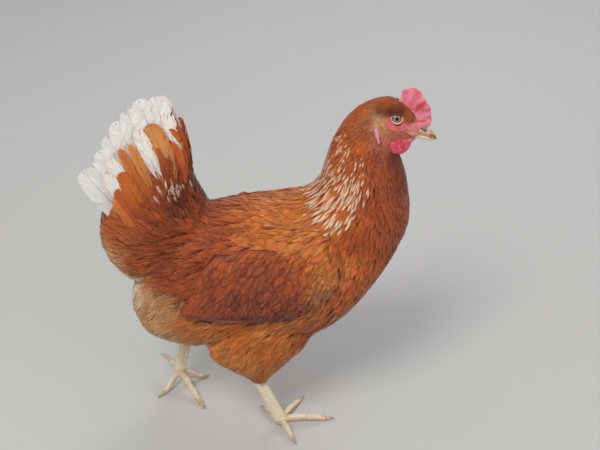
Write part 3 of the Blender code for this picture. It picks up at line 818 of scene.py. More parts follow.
def drawn_roots():
    """Places on the form, evenly scattered, no two nearer than the spacing there."""
    corners = form.points[form.faces]
    one, two = corners[:, 1] - corners[:, 0], corners[:, 2] - corners[:, 0]
    areas = np.linalg.norm(np.cross(one, two), axis=1) / 2
    centres = corners.mean(1)
    near = spacing(centres)
    weights = areas / near**2
    weights[near <= 0] = 0
    count = int(weights.sum() * 0.7 * TRIES)
    chosen = rng.choice(len(areas), count, p=weights / weights.sum())
    a, b = np.sqrt(rng.random(count)), rng.random(count)
    shares = np.stack([1 - a, a * (1 - b), a * b], axis=1)
    points = (corners[chosen] * shares[:, :, None]).sum(1)
    radii = near[chosen] / math.sqrt(STRETCH)
    cell = radii.max() * STRETCH
    grid, kept = {}, []
    keys = np.floor(points / cell).astype(int).tolist()
    flow = lie(centres, unit(form.normals[form.faces].sum(1)), is_wing(centres))[chosen].tolist()
    squeeze = 1 - 1 / STRETCH**2

    def too_near(place, other, way, limit):
        x, y, z = other[0] - place[0], other[1] - place[1], other[2] - place[2]
        along = x * way[0] + y * way[1] + z * way[2]
        return x * x + y * y + z * z - squeeze * along * along < limit

    around = [(i, j, k) for i in (-1, 0, 1) for j in (-1, 0, 1) for k in (-1, 0, 1)]
    for number, (key, place, way, radius) in enumerate(zip(keys, points.tolist(), flow, radii.tolist())):
        cells = ((key[0] + i, key[1] + j, key[2] + k) for i, j, k in around)
        others = (other for cell in cells for other in grid.get(cell, ()))
        if not any(too_near(place, other, way, radius * radius) for other in others):
            grid.setdefault(tuple(key), []).append(place)
            kept.append(number)
    return points[kept]


MOST_TRIANGLES = 190000  # in one piece of the coat
TRIES = 4.5  # how many times more places are drawn than there is room for
COMB_HALF = 2.2 * MM  # how far from the midline the comb's foot keeps feathers away
LAPPET_GAP, LAPPET_COVER = 0.8 * MM, 0.6 * MM  # how near a lappet no root stands, and no shaft passes
ROOT_SPACING = 0.29  # of a feather's size, between roots


def spacing(points):
    """How far apart roots stand at these places."""
    wing = is_wing(points)
    sizes = blended(points, wing, "sizes")
    gap = ROOT_SPACING * np.sqrt(sizes[:, 0] * sizes[:, 1]) * MM
    bare = bareness(points) * (headness(points) > 0.5)
    return np.where(bare > 0.6, gap * 40, gap)


def new_material(name):
    """A material, its Principled shader, and a function that adds a node to it."""
    made = bpy.data.materials.new(name)
    made.use_nodes = True

    def add(kind, inputs=(), **settings):
        node = set_up(made.node_tree.nodes.new("ShaderNode" + kind), **settings)
        return fill(node, inputs)

    return made, made.node_tree.nodes["Principled BSDF"], add


def fill(node, inputs):
    """Sets a node's inputs, each to a value or linked to another node's output."""
    for key, value in dict(inputs).items():
        if isinstance(value, bpy.types.NodeSocket):
            node.id_data.links.new(value, node.inputs[key])
        else:
            node.inputs[key].default_value = value
    return node


def markings_and_light_material(
    name, roughness, contrast, specular, detail=900, sheen=0.0, bump=0.0, coat=0.0, skin=0.0
):
    """A Principled material whose colour is the mesh's own markings together with painted light and shade,
    broken up by fine noise.
    """
    made, shader, add = new_material(name)
    fill(shader, {
        "Roughness": roughness,
        "Specular IOR Level": specular,
        "Sheen Weight": sheen,
        "Sheen Roughness": 0.45,
        "Coat Weight": coat,
        "Coat Roughness": 0.06,
        "Subsurface Weight": skin,
        "Subsurface Radius": (0.004, 0.0012, 0.0006),
        "Subsurface Scale": 0.5,
    })
    marks = add("Attribute", attribute_name="MarkingsAndPaintedLight").outputs["Color"]
    place = add("TexCoord").outputs["Object"]
    noise = add("TexNoise", {"Scale": detail, "Detail": 3, "Vector": place}).outputs["Fac"]
    spread = add("MapRange", {"To Min": 1 - contrast, "To Max": 1 + contrast, "Value": noise})
    tint = add("VectorMath", {0: marks, "Scale": spread.outputs["Result"]}, operation="SCALE")
    fill(shader, {"Base Color": tint.outputs["Vector"]})
    if bump:
        relief = add("Bump", {"Strength": bump, "Distance": 0.4 * MM, "Height": noise})
        fill(shader, {"Normal": relief.outputs["Normal"]})
    return made


def settle(piece, slot, material, *replaced):
    """Gives a finished piece its material and ties it to the frame."""
    piece.data.materials.clear()
    piece.data.materials.append(material)
    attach(piece, "root")
    if replaced:
        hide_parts(*replaced)
    return piece


plumage = markings_and_light_material("plumage", roughness=0.62, sheen=0.25, detail=1400, contrast=0.10, specular=0.25)
TIP_LIFT = {"vane": 0.35, "scale": 0.45, "lance": 0.30, "fine": 0.5, "silk": 0.55}  # mm over the form
BODY_RIM, WING_RIM = 0.10, 0.34  # how much darker a feather's edge is: part a dark lacing, part painted shade between overlapping feathers


def coat_roots():
    """The feathers' roots and normals, and for each root if it is on a wing or the head, and its kind."""
    roots, normals, _ = form.nearest(drawn_roots())
    wing, head = is_wing(roots), headness(roots)
    low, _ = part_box("comb")
    by_midline = np.abs(roots[:, 1] - MIDLINE) < COMB_HALF
    in_comb = by_midline & (roots[:, 0] > low.x - 1 * MM) & (roots[:, 2] > low.z)
    bald = (bareness(roots) > 0.5) & (head > 0.5) & (roots[:, 0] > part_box("head")[0].x)
    kinds = kind_of(roots, wing)
    kept = ~(in_comb | bald | (kinds == "none") | near_lappet(roots, LAPPET_GAP))
    return [values[kept] for values in (roots, normals, wing, head, kinds)]


def coat_tints(roots, wing, flecks):
    """Each feather's own colours, by its tract and by chance."""
    count = len(roots)
    bright = np.exp(rng.normal(0, 0.10, count)) * (1 + 0.12 * ripples(roots, 22 * MM, 5))
    fleck_odds = np.where(flecks > 0.12, flecks * 0.75, 0)
    fleck = (rng.random(count) < fleck_odds) * rng.uniform(0.6, 1.0, count)
    streak = (rng.random(count) < np.where(wing, 0.60, 0.25)) * rng.uniform(0.3, 1.0, count)
    main, second = blended(roots, wing, "main"), blended(roots, wing, "second")
    return Tints(main, second, fleck, bright, streak, np.where(wing, WING_RIM, BODY_RIM))


def shorten_on_wing(shafts, roots, normals, wing, lengths, halves, turn):
    """Makes the feathers shorter that would hang below the wing's lower edge."""
    tips = shafts.places[:, -1]
    floor_height = wing_edge(tips, 0) + 2 * MM
    share = np.clip((roots[:, 2] - floor_height) / np.maximum(roots[:, 2] - tips[:, 2], 1 * MM), 0, 1)
    over = np.flatnonzero(wing & (tips[:, 2] < floor_height))
    lengths[over] *= np.maximum(share[over], 0.3)
    shorter = grow_shafts(roots[over], normals[over], wing[over], lengths[over], turn[over])
    shafts.places[over], shafts.ups[over] = shorter.places, shorter.ups
    halves[over] *= np.maximum(share[over], 0.5) ** 0.5


def shown_feathers(roots, shafts):
    """False for feathers that run forward at the tail, hide a lappet or stick out at the shoulder."""
    tips = shafts.places[:, -1]
    runs_forward = (roots[:, 0] < -50 * MM) & (roots[:, 2] > 0.3) & (tips[:, 0] - roots[:, 0] > 4 * MM)
    hides = near_lappet(shafts.places[:, 3], LAPPET_COVER)
    low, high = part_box("wing_right")
    off = np.linalg.norm(form.nearest(tips)[0] - tips, axis=1) > 3 * MM
    outward = np.abs(tips[:, 1] - MIDLINE) > np.abs(roots[:, 1] - MIDLINE) + 3 * MM
    astray = off & outward & (tips[:, 0] > low.x) & (tips[:, 2] > high.z - 25 * MM)
    return ~(runs_forward | hides | astray)


def grow_coat():
    """All the body's feathers, from tiny ones on the head to tail coverts."""
    roots, normals, wing, head, kinds = coat_roots()
    sizes = blended(roots, wing, "sizes")
    lengths = sizes[:, 0] * MM * rng.uniform(0.85, 1.15, len(roots))
    halves = sizes[:, 1] * MM / 2 * rng.uniform(0.9, 1.15, len(roots))
    turn = rng.normal(0, 0.11, len(roots))
    tints = coat_tints(roots, wing, sizes[:, 2])
    shafts = grow_shafts(roots, normals, wing, lengths, turn)
    shorten_on_wing(shafts, roots, normals, wing, lengths, halves, turn)
    shown = shown_feathers(roots, shafts)
    depth = coat_depth(roots, head)
    anchors = unwrap(roots, wing)
    number = 0
    for kind in TIP_LIFT:
        for variant, pattern in enumerate(PATTERNS[kind]):
            mine = np.flatnonzero((kinds == kind) & shown)
            mine = mine[mine % len(PATTERNS[kind]) == variant]
            most = MOST_TRIANGLES // (2 * len(pattern.faces))
            for part in np.array_split(mine, max(1, math.ceil(len(mine) / most))):
                if not len(part):
                    continue
                number += 1
                small = np.clip(lengths[part] / (18 * MM), 0.35, 1)
                lifts = TIP_LIFT[kind] * MM * small * rng.uniform(0.4, 1.6, len(part))
                heights = np.stack([-0.8 * depth[part], lifts + 0.35 * MM * head[part]], axis=1)
                colours = feather_colours(pattern, taken(tints, part))
                piece = feather_piece(
                    f"plumage_{kind}_{number}", pattern, taken(shafts, part), halves[part], heights,
                    rng.normal(0, 0.05, len(part)), colours, anchors[part]
                )
                settle(piece, "plumage", plumage)


def wattle_lift(points):
    """How far the wattles' rounded lower edge lies over the CAD wattles' own."""
    low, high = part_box("wattle_right")
    lift = mixed(6.0, -0.4, smoothstep(0.06, 0.48, (points[:, 0] - low.x) / (high.x - low.x)))
    return lift * MM * smoothstep(0, 14 * MM, high.z - points[:, 2]) * (points[:, 0] > low.x - 8 * MM)


CAD_LAPPETS = Surface(*joined(BARE[1:], 0)[:2])
LIFTED = CAD_LAPPETS.points + wattle_lift(CAD_LAPPETS.points)[:, None] * (0, 0, 1)
LAPPETS = Surface(LIFTED, CAD_LAPPETS.faces)


def near_lappet(places, distance):
    """True within this distance of a wattle or an earlobe."""
    return np.linalg.norm(LAPPETS.nearest(places)[0] - places, axis=1) < distance


# ---- flight feathers of the folded wings

Flight = namedtuple("Flight", "tip_x tip_z turn length half_width lift")
# The tip as shares of the wing's box, the turn in degrees, and length, half width and the tip's lift in mm.
SECONDARIES = 7
FIRST_SECONDARY = Flight(0.028, 0.055, 239, 82, 7.5, 1.2)
LAST_SECONDARY = Flight(0.200, 0.030, 229, 66, 7.0, 0.3)
EDGE_FEATHERS = 3  # primaries, of which only a band along the wing's lower edge shows
EDGE_START, EDGE_END = 0.93, 0.06  # where the band starts and ends, as shares of the wing's length


def form_level(x, z, outward, otherwise=0.0):
    """How far the form's side lies out from the midline at a place in side view, and its normal there."""
    hit = from_side(form.tree, x, z, outward)
    if hit[0] is None:
        return otherwise, np.array([0, outward, 0])
    return (hit[0].y - MIDLINE) * outward, np.array(hit[1])


def laid_on_form(flat_line, side):
    """Places and ups on the form's side under or over the places of a line drawn in side view."""
    outward = OUTWARD[side]
    line, ups = [], []
    for x, z in flat_line:
        depth, up = form_level(x, z, outward)
        if line:
            depth = max(depth, (line[-1][1] - MIDLINE) * outward - 2.5 * MM)
            up = unit(0.5 * up + 0.5 * ups[-1])
        line.append(np.array([x, MIDLINE + outward * depth, z]))
        ups.append(up)
    return line, ups


def heading(degrees):
    """The way of a turn in side view: 0 is forward and 90 is up."""
    turn = math.radians(degrees)
    return np.array([math.cos(turn), 0, math.sin(turn)])


def secondary_line(flight, side):
    """A secondary's line, straight from its root to its tip."""
    tip = in_box("wing_" + side, flight.tip_x, flight.tip_z)
    root = tip - flight.length * MM * heading(flight.turn)[[0, 2]]
    return [mixed(root, tip, run) for run in RUNS]


def edge_line(number, side):
    """A primary's line: it follows the wing's lower edge."""
    low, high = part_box("wing_" + side)
    start = mixed(low.x, high.x, EDGE_START - 0.16 * number)
    end = mixed(low.x, high.x, EDGE_END + 0.05 * number)
    xs = np.linspace(start, end, SPINE_STEPS + 1)
    heights = np.interp(xs, WING_OUTLINE[side][0], WING_OUTLINE[side][1][:, 0])
    return [(x, z + (1.6 + 1.1 * number) * MM) for x, z in zip(xs, heights)]


def grow_flights():
    """Long feathers whose tips and edges make each folded wing's rear and lower margins."""
    for side in SIDES:
        secondaries = [
            Flight(*mixed(np.array(FIRST_SECONDARY), np.array(LAST_SECONDARY), n / (SECONDARIES - 1)))
            for n in range(SECONDARIES)
        ]
        flight_piece(
            "secondaries_" + side, [secondary_line(flight, side) for flight in secondaries], side,
            [flight.half_width for flight in secondaries], -2.5, [flight.lift for flight in secondaries],
            ("rufous", "maroon", "chestnut"), PATTERNS["flight"][0]
        )
        flight_piece(
            "primaries_" + side, [edge_line(n, side) for n in range(EDGE_FEATHERS)], side,
            [2.6, 2.8, 3.2], -1.0, [1.2, 0.8, 0.4], ("maroon", "umber", "chestnut"), PATTERNS["flight"][1]
        )


def flight_piece(name, lines, side, half_widths, root_lift, tip_lifts, colour_names, pattern):
    """One mesh of a wing's long feathers. Widths and lifts are in mm."""
    count = len(lines)
    made = [laid_on_form(line, side) for line in lines]
    shafts = Shafts(*(np.array(part) for part in zip(*made)))
    first, last, second = (PALETTE[colour] for colour in colour_names)
    colours = feather_colours(pattern, Tints(
        mixed(first, last, np.linspace(0, 1, count)[:, None] ** 0.4),
        np.tile(second, (count, 1)),
        np.zeros(count),
        np.exp(rng.normal(0, 0.08, count)),
        rng.uniform(0.2, 0.6, count),
        np.full(count, WING_RIM),
    ))
    heights = np.array([(root_lift, lift) for lift in tip_lifts]) * MM
    anchors = unwrap(shafts.places[:, 0], np.ones(count, bool))
    piece = feather_piece(
        name, pattern, shafts, np.array(half_widths) * MM, heights, np.zeros(count), colours, anchors
    )
    settle(piece, "plumage", plumage)


# ---- tail feathers

FAN_PIVOT = np.array([-0.028, MIDLINE, 0.064])  # where the lines of the tail feathers meet
FAN_ANGLES = (121.0, 103.5)  # from the rearmost feather to the foremost, in degrees
FAN_SEARCH = 0.205  # where the search for the fan's edge starts, from the pivot
RECTRICES = 8
RECTRIX_LENGTHS = (0.100, 0.118)
RECTRIX_HALVES = (14.5, 13.5)  # half widths in mm
RECTRIX_STEP = 0.4 * MM  # how much deeper each lies than the one above


def fan_reach(surface, direction, start):
    """How far the fan's solid goes from the pivot along a side-view direction."""
    last = start
    for distance in np.arange(start, start + 0.25, 2 * MM):
        place = FAN_PIVOT + distance * direction
        if from_side(surface.tree, place[0], place[2], 1.0)[0] is not None:
            last = distance
    return last


def grow_tail():
    """The big tail feathers: a fan on each side, white, with dark shafts and worn tips."""
    material = markings_and_light_material("tail_plumage", roughness=0.6, sheen=0.3, contrast=0.06, specular=0.25)
    shares = [number / (RECTRICES - 1) for number in range(RECTRICES)]
    halves = np.array([mixed(*RECTRIX_HALVES, share) * MM for share in shares])
    for side in SIDES:
        fan = Surface(*welded("tail_fan_" + side))
        outward = OUTWARD[side]
        lines = []
        for number, share in enumerate(shares):
            direction = heading(mixed(*FAN_ANGLES, share))
            longer = 5 * MM * float(smoothstep(0.6, 1.0, np.array(share)))
            reach = fan_reach(fan, direction, FAN_SEARCH) + longer
            start = reach - mixed(*RECTRIX_LENGTHS, share)
            tip = FAN_PIVOT + (reach - 4 * MM) * direction
            level = fan.nearest((tip + (0, outward * 0.06, 0))[None])[0][0][1]
            level -= outward * (RECTRICES - 1 - number) * RECTRIX_STEP
            flat = [FAN_PIVOT + mixed(start, reach + 1.5 * MM, run) * direction for run in RUNS]
            depths = [mixed(MIDLINE + outward * 9 * MM, level, run**0.8) for run in RUNS]
            lines.append([(place[0], depth, place[2]) for place, depth in zip(flat, depths)])
        whites = np.tile(PALETTE["white"], (RECTRICES, 1))
        for piece in tail_pieces("tail_feathers_" + side, "tail", outward, lines, halves, whites):
            settle(piece, "tail_plumage", material, "tail_fan_" + side)
        grow_tail_coverts(side, fan, material)


def tail_pieces(name, kind, outward, lines, halves, mains, edges=None):
    """Long feathers in a few meshes, each with a pattern of its own."""
    lines = np.array(lines)
    shafts = Shafts(lines, np.broadcast_to(unit(np.array([0.12, outward, 0.10])), lines.shape))
    patterns = PATTERNS[kind][len(PATTERNS[kind]) // 2 :] if "left" in name else PATTERNS[kind]
    variants = len(PATTERNS[kind]) // 2
    for variant, pattern in enumerate(patterns[:variants]):
        part = np.arange(len(halves))[variant::variants]
        twist = rng.normal(0, 0.06, len(part))
        colours = tail_colours(pattern, mains[part], None if edges is None else edges[part])
        anchors = unwrap(shafts.places[part, 0], np.zeros(len(part), bool))
        yield feather_piece(
            f"{name}_{variant + 1}", pattern, taken(shafts, part), halves[part],
            np.zeros((len(part), 2)), twist, colours, anchors
        )


TailCovert = namedtuple("TailCovert", "turn reach lean length half_width main edge lift")
# Turn in degrees and the tip's reach in mm from the fan's pivot; the feather's own lean in degrees from that
# turn; length, half width and lift in mm.
TAIL_COVERTS = table(TailCovert, """
    119 240 4 44 8 copper rufous 1.8
    118.4 260 3 50 8.5 copper orange 1.6
    117.4 286 0 46 7.5 white cream 1.2
    115.2 298 0 50 7.5 white cream 1.3
    112.4 303 -1 60 5.2 copper orange 2.2
    110.4 303 2 58 4.8 orange gold 2.5
    108.2 315 3 62 7.5 white cream 1.6
    105.8 314 6 60 11.5 gold copper 2.2
    107.9 306 4 56 4 white cream 2.9
    102.6 320 2 58 7 white cream 1.6
    102.4 302 3 56 7.5 copper rufous 2.8
    100.8 304 0 58 4.2 rufous chestnut 1.4
    117 266 2 48 8.5 rufous copper 2.6
    114.6 280 2 50 8 copper rufous 2.8
    110.8 280 3 50 8.5 rufous copper 3
    108.2 287 3 50 8.5 copper orange 3.2
    105.4 288 3 50 8.5 rufous copper 3.2
    102.8 288 1 50 8 rufous copper 3
    """)


def grow_tail_coverts(side, fan, material):
    """Long coverts that lie over the tail feathers: orange-brown ones among white ones."""
    outward = OUTWARD[side]
    lines = []
    for covert in TAIL_COVERTS:
        tip = FAN_PIVOT + covert.reach * MM * heading(covert.turn)
        root = tip - covert.length * MM * heading(covert.turn + covert.lean)
        tip_level = (fan.nearest((tip + (0, outward * 0.06, 0))[None])[0][0][1] - MIDLINE) * outward
        tip_level = max(tip_level, form_level(tip[0], tip[2], outward, tip_level)[0])
        root_level = form_level(root[0], root[2], outward, tip_level + 2 * MM)[0] - 2 * MM
        levels = [mixed(root_level, tip_level + covert.lift * MM, run**0.8) for run in RUNS]
        lines.append([mixed(root, tip, run) + (0, outward * level, 0) for run, level in zip(RUNS, levels)])
    mains = np.array([PALETTE[covert.main] for covert in TAIL_COVERTS])
    edges = np.array([PALETTE[covert.edge] for covert in TAIL_COVERTS])
    halves = np.array([covert.half_width for covert in TAIL_COVERTS]) * MM
    for piece in tail_pieces("tail_coverts_" + side, "plume", outward, lines, halves, mains, edges):
        settle(piece, "tail_plumage", material)


def tail_colours(pattern, main, edge):
    """Each feather's own colour, its edge's if it has one, and a dark shaft."""
    u = pattern.u[None, :, None]
    per_barb = barb_tones(pattern, len(main), 0.05)
    colour = main[:, None, :] * per_barb
    if edge is not None:
        outer = smoothstep(0.35, 1.0, pattern.margin)[None, :, None]
        colour = mixed(colour, edge[:, None, :] * per_barb, 0.7 * outer)
        colour = colour * (0.72 + 0.28 * smoothstep(0.2, 0.7, u))
    else:
        colour = mixed(colour, PALETTE["buff"], 0.55 * (1 - smoothstep(0.15, 0.50, u)))
    line = (pattern.barb == 0)[None, :, None]
    return mixed(colour, PALETTE["umber"] * 0.7, 0.9 * line * (1 - 0.5 * u))


# ---- the skin

GROWN = 0.45 * MM  # how much the nodes grow before they are joined, and the skin shrinks after
SKIN_VOXEL, SKIN_SMOOTHING = 0.85 * MM, 3
HIDDEN_KEPT = 0.10  # the share of faces kept under the coat
SOFTENED = ["comb", "earlobe_left", "earlobe_right"]


def pebble(place, radii, turn_deg, sides=20):
    """A flattened ball. In mm: its place forward of the eye, out from the midline and up, and its radii."""
    rings = sides // 2 + 1
    tilts, rounds = crossed(np.linspace(0, math.pi, rings), circle(sides))
    ball = np.stack([np.sin(tilts) * np.cos(rounds), np.cos(tilts), np.sin(tilts) * np.sin(rounds)], axis=1)
    ball = ball * np.array(radii) * MM
    turn = math.radians(turn_deg)
    forward = ball[:, 0] * math.cos(turn) - ball[:, 2] * math.sin(turn)
    upward = ball[:, 0] * math.sin(turn) + ball[:, 2] * math.cos(turn)
    middle_place = np.array([EYE_X, MIDLINE, EYE_Z]) + np.array(place) * MM
    points = np.stack([forward, ball[:, 1], upward], axis=1) + middle_place
    quads = grid_quads(rings, sides)
    return points, np.concatenate([quads[:, :3], quads[:, [0, 2, 3]]])[:, ::-1]


CERE = ((23.5, 0, -9.0), (10.0, 7.8, 6.4), -18)  # the soft swelling over the root of the bill
# Rounded lobes along the comb's edge: forward and up from the eye's middle, and radius, in mm.
COMB_LOBES = [(6.4, 20.5, 3.4), (8.0, 25.4, 4.4), (13.4, 27.2, 5.0), (18.6, 26.2, 4.4), (23.4, 20.2, 4.4)]
COMB_LOBES += [(28.6, 12.0, 4.4), (30.4, 3.4, 4.0)]


def grow_skin():
    """One skin of all the flesh, tucked under the coat, with the face's folds, lids and comb."""
    flesh = FEATHERED + LEGS + BARE
    points, faces = joined(flesh, GROWN)[:2]
    lumps = [CERE] + [((x, 0, z), (radius, 1.9, radius), 0) for x, z, radius in COMB_LOBES]
    for lump_points, lump_faces in (pebble(*lump) for lump in lumps):
        faces = np.concatenate([faces, lump_faces + len(points)])
        points = np.concatenate([points, lump_points])
    mesh = remeshed(points, faces, SKIN_VOXEL, SKIN_SMOOTHING)
    own_points, own_faces, owner = joined(flesh, 0)
    surface = Surface(own_points, own_faces)

    def nodes_at(points):
        return np.array(flesh)[owner[surface.nearest(points)[2]]]

    points = mesh_arrays(mesh)[0]
    names = nodes_at(points)
    hidden = np.isin(names, FEATHERED) & (bareness(points) * (names == "head") < 0.02)
    mesh = thinned(mesh, hidden, np.isin(names, SOFTENED))
    points, faces = mesh_arrays(mesh)
    points -= corner_normals(points, faces) * GROWN
    names = nodes_at(points)
    under = np.isin(names, FEATHERED)
    outer, up, _ = form.nearest(points[under])
    depth = coat_depth(points[under], headness(points[under]))
    bare_face = bareness(points[under]) * (names[under] == "head")
    points[under] = mixed(outer - up * depth[:, None], points[under], bare_face[:, None])
    points, colours = face_details(points, corner_normals(points, faces), names)
    mesh.vertices.foreach_set("co", points.astype(np.float32).ravel())
    mesh.polygons.foreach_set("use_smooth", np.ones(len(mesh.polygons), bool))
    mesh.update()
    paint(mesh, colours)
    skin = new_object("hen_skin", mesh)
    material = markings_and_light_material(
        "bare_skin", roughness=0.48, detail=1500, contrast=0.18, specular=0.45, bump=0.5, skin=0.12
    )
    settle(skin, "comb_skin", material, *flesh)
    return Surface(points, faces)


def thinned(mesh, hidden, softened):
    """The mesh with fewer faces where it is hidden, and with the softened part's points rounded off."""
    work = new_object("work", mesh)
    for name, chosen in (("hidden", hidden), ("soft", softened)):
        work.vertex_groups.new(name=name).add(np.flatnonzero(chosen).tolist(), 1.0, "REPLACE")
    set_up(work.modifiers.new("smooth", "SMOOTH"), factor=0.5, iterations=14, vertex_group="soft")
    ratio = 1 - hidden.mean() * (1 - HIDDEN_KEPT)
    set_up(work.modifiers.new("fewer", "DECIMATE"), ratio=ratio, vertex_group="hidden")
    return evaluated(work)


BALL = 8.0 * MM  # the eyeball's radius
OPENING = 4.9 * MM  # the radius of the opening between the lids, which is longer than high
OPENING_LONG, OPENING_HIGH = 1.12, 0.92
LID = 0.8 * MM
SUNK = 1.4 * MM
GAZE = {side: unit(np.array([0.12, OUTWARD[side], 0.22])) for side in SIDES}


def ball_middle(side):
    """The eyeball's middle: its front lies as far out as the CAD eye's, a little proud of the head."""
    low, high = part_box("eye_" + side)
    front = high.y if side == "left" else low.y
    return np.array([EYE_X - 1.2 * MM, front - OUTWARD[side] * (BALL + SUNK), EYE_Z + 1.4 * MM])


def spot(place, middle_mm, radius, flat=1.0):
    """A soft round patch on the face's side view: 1 in its middle, 0 well away."""
    away = (place - np.array(middle_mm)) * (1, 1 / flat)
    return np.exp(-((away**2).sum(1) / radius**2))


def streak_along(place, start, end, width):
    """A soft line on the face's side view."""
    return bell(away_from(place, np.array(start, float), np.array(end, float)), width)


def lid_axes(side):
    """The ways forward and up across the eye's opening."""
    gaze = GAZE[side]
    fore = unit(np.array([1.0, 0, -0.25]) - gaze * (gaze[0] - 0.25 * gaze[2]))
    return fore, np.cross(fore, gaze) * OUTWARD[side]


def lids(points, colours, bare):
    """Sockets, rims and creases round the eyes."""
    for side in SIDES:
        away = points - ball_middle(side)
        gaze = GAZE[side]
        toward = away @ gaze
        fore, over = lid_axes(side)
        radius = np.sqrt((away @ fore / OPENING_LONG) ** 2 + (away @ over / OPENING_HIGH) ** 2)
        on_side = np.sign(points[:, 1] - MIDLINE) == OUTWARD[side]
        near = (toward > -0.6 * BALL) & (radius < 3 * OPENING) & on_side
        inner = near & (radius < OPENING)
        dome = np.sqrt(np.maximum(BALL**2 - radius**2, 0))
        points[inner] += gaze * (dome - 1.6 * MM - toward)[inner, None]
        outside = radius >= OPENING
        ring = bell(radius - OPENING - LID, 0.55 * MM) * near * (radius >= OPENING - 0.3 * MM)
        level = math.sqrt(BALL**2 - (OPENING + LID) ** 2) + 1.3 * MM
        share = np.clip(1.4 * ring, 0, 1)
        points += gaze * (share * (level - toward) * outside)[:, None]
        skirt = level - 0.9 * np.maximum(radius - OPENING - LID, 0)
        points += gaze * (np.maximum(skirt - toward, 0) * (1 - share) * near * outside)[:, None]
        crease = bell(radius - OPENING - 2.6 * MM, 0.7 * MM) * near
        swelling = bell(radius - OPENING - 4.4 * MM, 0.9 * MM) * near
        points += gaze * ((0.35 * MM * swelling - 0.45 * MM * crease) * bare)[:, None]
        upper = smoothstep(0.3, 0.9, away @ over / np.maximum(radius, MM))
        lash = bell(radius - OPENING - 1.9 * MM, 0.5 * MM) * near
        # Painted shade: the top of the lid ring darker under the brow, the socket inside the opening near
        # black, and the crease darker.
        colours = layered(
            colours,
            (layered(FACE_PALE, (PALETTE["umber"], 0.9 * upper)), np.clip(1.15 * ring, 0, 1)),
            (FACE_DEEP * 0.6, 0.45 * lash),
            (FACE_DEEP * 0.25, inner * 0.95),
            (FACE_DEEP, 0.4 * crease * bare),
        )
    return points, colours


def grow_lid_rims():
    """The wet rims of the lids: a smooth tube round each eye's opening."""
    material = markings_and_light_material("lid_rim", roughness=0.35, detail=2500, contrast=0.08, specular=0.4)
    around, tube = circle(72), circle(12)
    for side in SIDES:
        gaze = GAZE[side]
        fore, over = lid_axes(side)
        upper = np.maximum(np.sin(around), 0)
        long, high = OPENING_LONG * np.cos(around), (OPENING_HIGH - 0.10 * upper) * np.sin(around)
        reach = (OPENING + 0.15 * MM) * np.stack([long, high])
        level = np.sqrt(BALL**2 - (reach**2).sum(0)) + 0.30 * MM
        flat = reach[0][:, None] * fore + reach[1][:, None] * over
        middle_line = ball_middle(side) + flat + level[:, None] * gaze
        thick = (0.56 + 0.40 * upper)[:, None, None] * MM
        points = middle_line[:, None] + thick * (
            np.cos(tube)[None, :, None] * unit(flat)[:, None] + 0.75 * np.sin(tube)[None, :, None] * gaze
        )
        # painted shade: the upper rim darker, under the brow
        colour = layered(LID_CREAM, (FACE_DEEP * 0.45, smoothstep(0.15, 0.75, upper)))
        quads = grid_quads(len(around), len(tube), closed=True)
        rim = build_object(f"lid_rim_{side}", points.reshape(-1, 3), quads, colour.repeat(len(tube), axis=0))
        settle(rim, "comb_skin", material)


def comb_details(points, normals, colours, comb, mottle):
    """Folds, a crinkled rim and the colours of the comb."""
    arm = points[:, [0, 2]] - in_box("comb", 0.28, 0.07)
    angle = np.arctan2(arm[:, 1], arm[:, 0])
    height = np.linalg.norm(arm, axis=1)
    crest = smoothstep(10 * MM, 30 * MM, height) * comb
    fold = np.sin(angle * 17 + 1.5 * np.sin(height * 240))
    fold_shape = np.sign(fold) * np.abs(fold) ** 0.7
    wave = np.sin(angle * 5.0 + 0.6)
    out_y = np.sign(points[:, 1] - MIDLINE)
    points[:, 1] += crest * (1.2 * MM * wave + 0.5 * MM * fold_shape * out_y)
    rim = smoothstep(0.55, 0.9, np.abs(unit(arm) * normals[:, [0, 2]]).sum(1)) * crest
    lobe = 0.4 * np.sin(angle * 11 + 0.4) + 0.5 * np.sin(angle * 31 + 1.1)
    points[:, [0, 2]] += unit(arm) * (rim * 1.6 * MM * lobe)[:, None]
    place = face_place(points)
    pink = layered(
        COMB_PINK,
        # painted light and shade: paler on the folds' ridges, deeper pink between them; the mottle is the
        # comb's own
        (COMB_PALE, np.clip(0.38 + 0.42 * fold + 0.25 * mottle, 0, 1)),
        # deeper red in the middle and along two fold lines: part the comb's own crimson, part painted shade
        # in its folds
        (COMB_DEEP, 0.85 * spot(place, (23.5, 11.0), 6.5, 0.75)),
        (COMB_DEEP, 0.45 * streak_along(place, (11, 14), (18, 23), 1.6)),
        (COMB_DEEP, 0.40 * streak_along(place, (16, 8), (27, 7), 1.4)),
        (COMB_LILAC, 0.75 * spot(place, (27.0, 0.5), 6.5, 0.8)),
        (COMB_LILAC, 0.5 * spot(place, (13, 22), 8.0)),
        # painted highlight along the comb's rims
        (COMB_RIM_HIGHLIGHT, 0.75 * rim * (0.6 + 0.4 * wave)),
    )
    return layered(colours, (pink, comb))


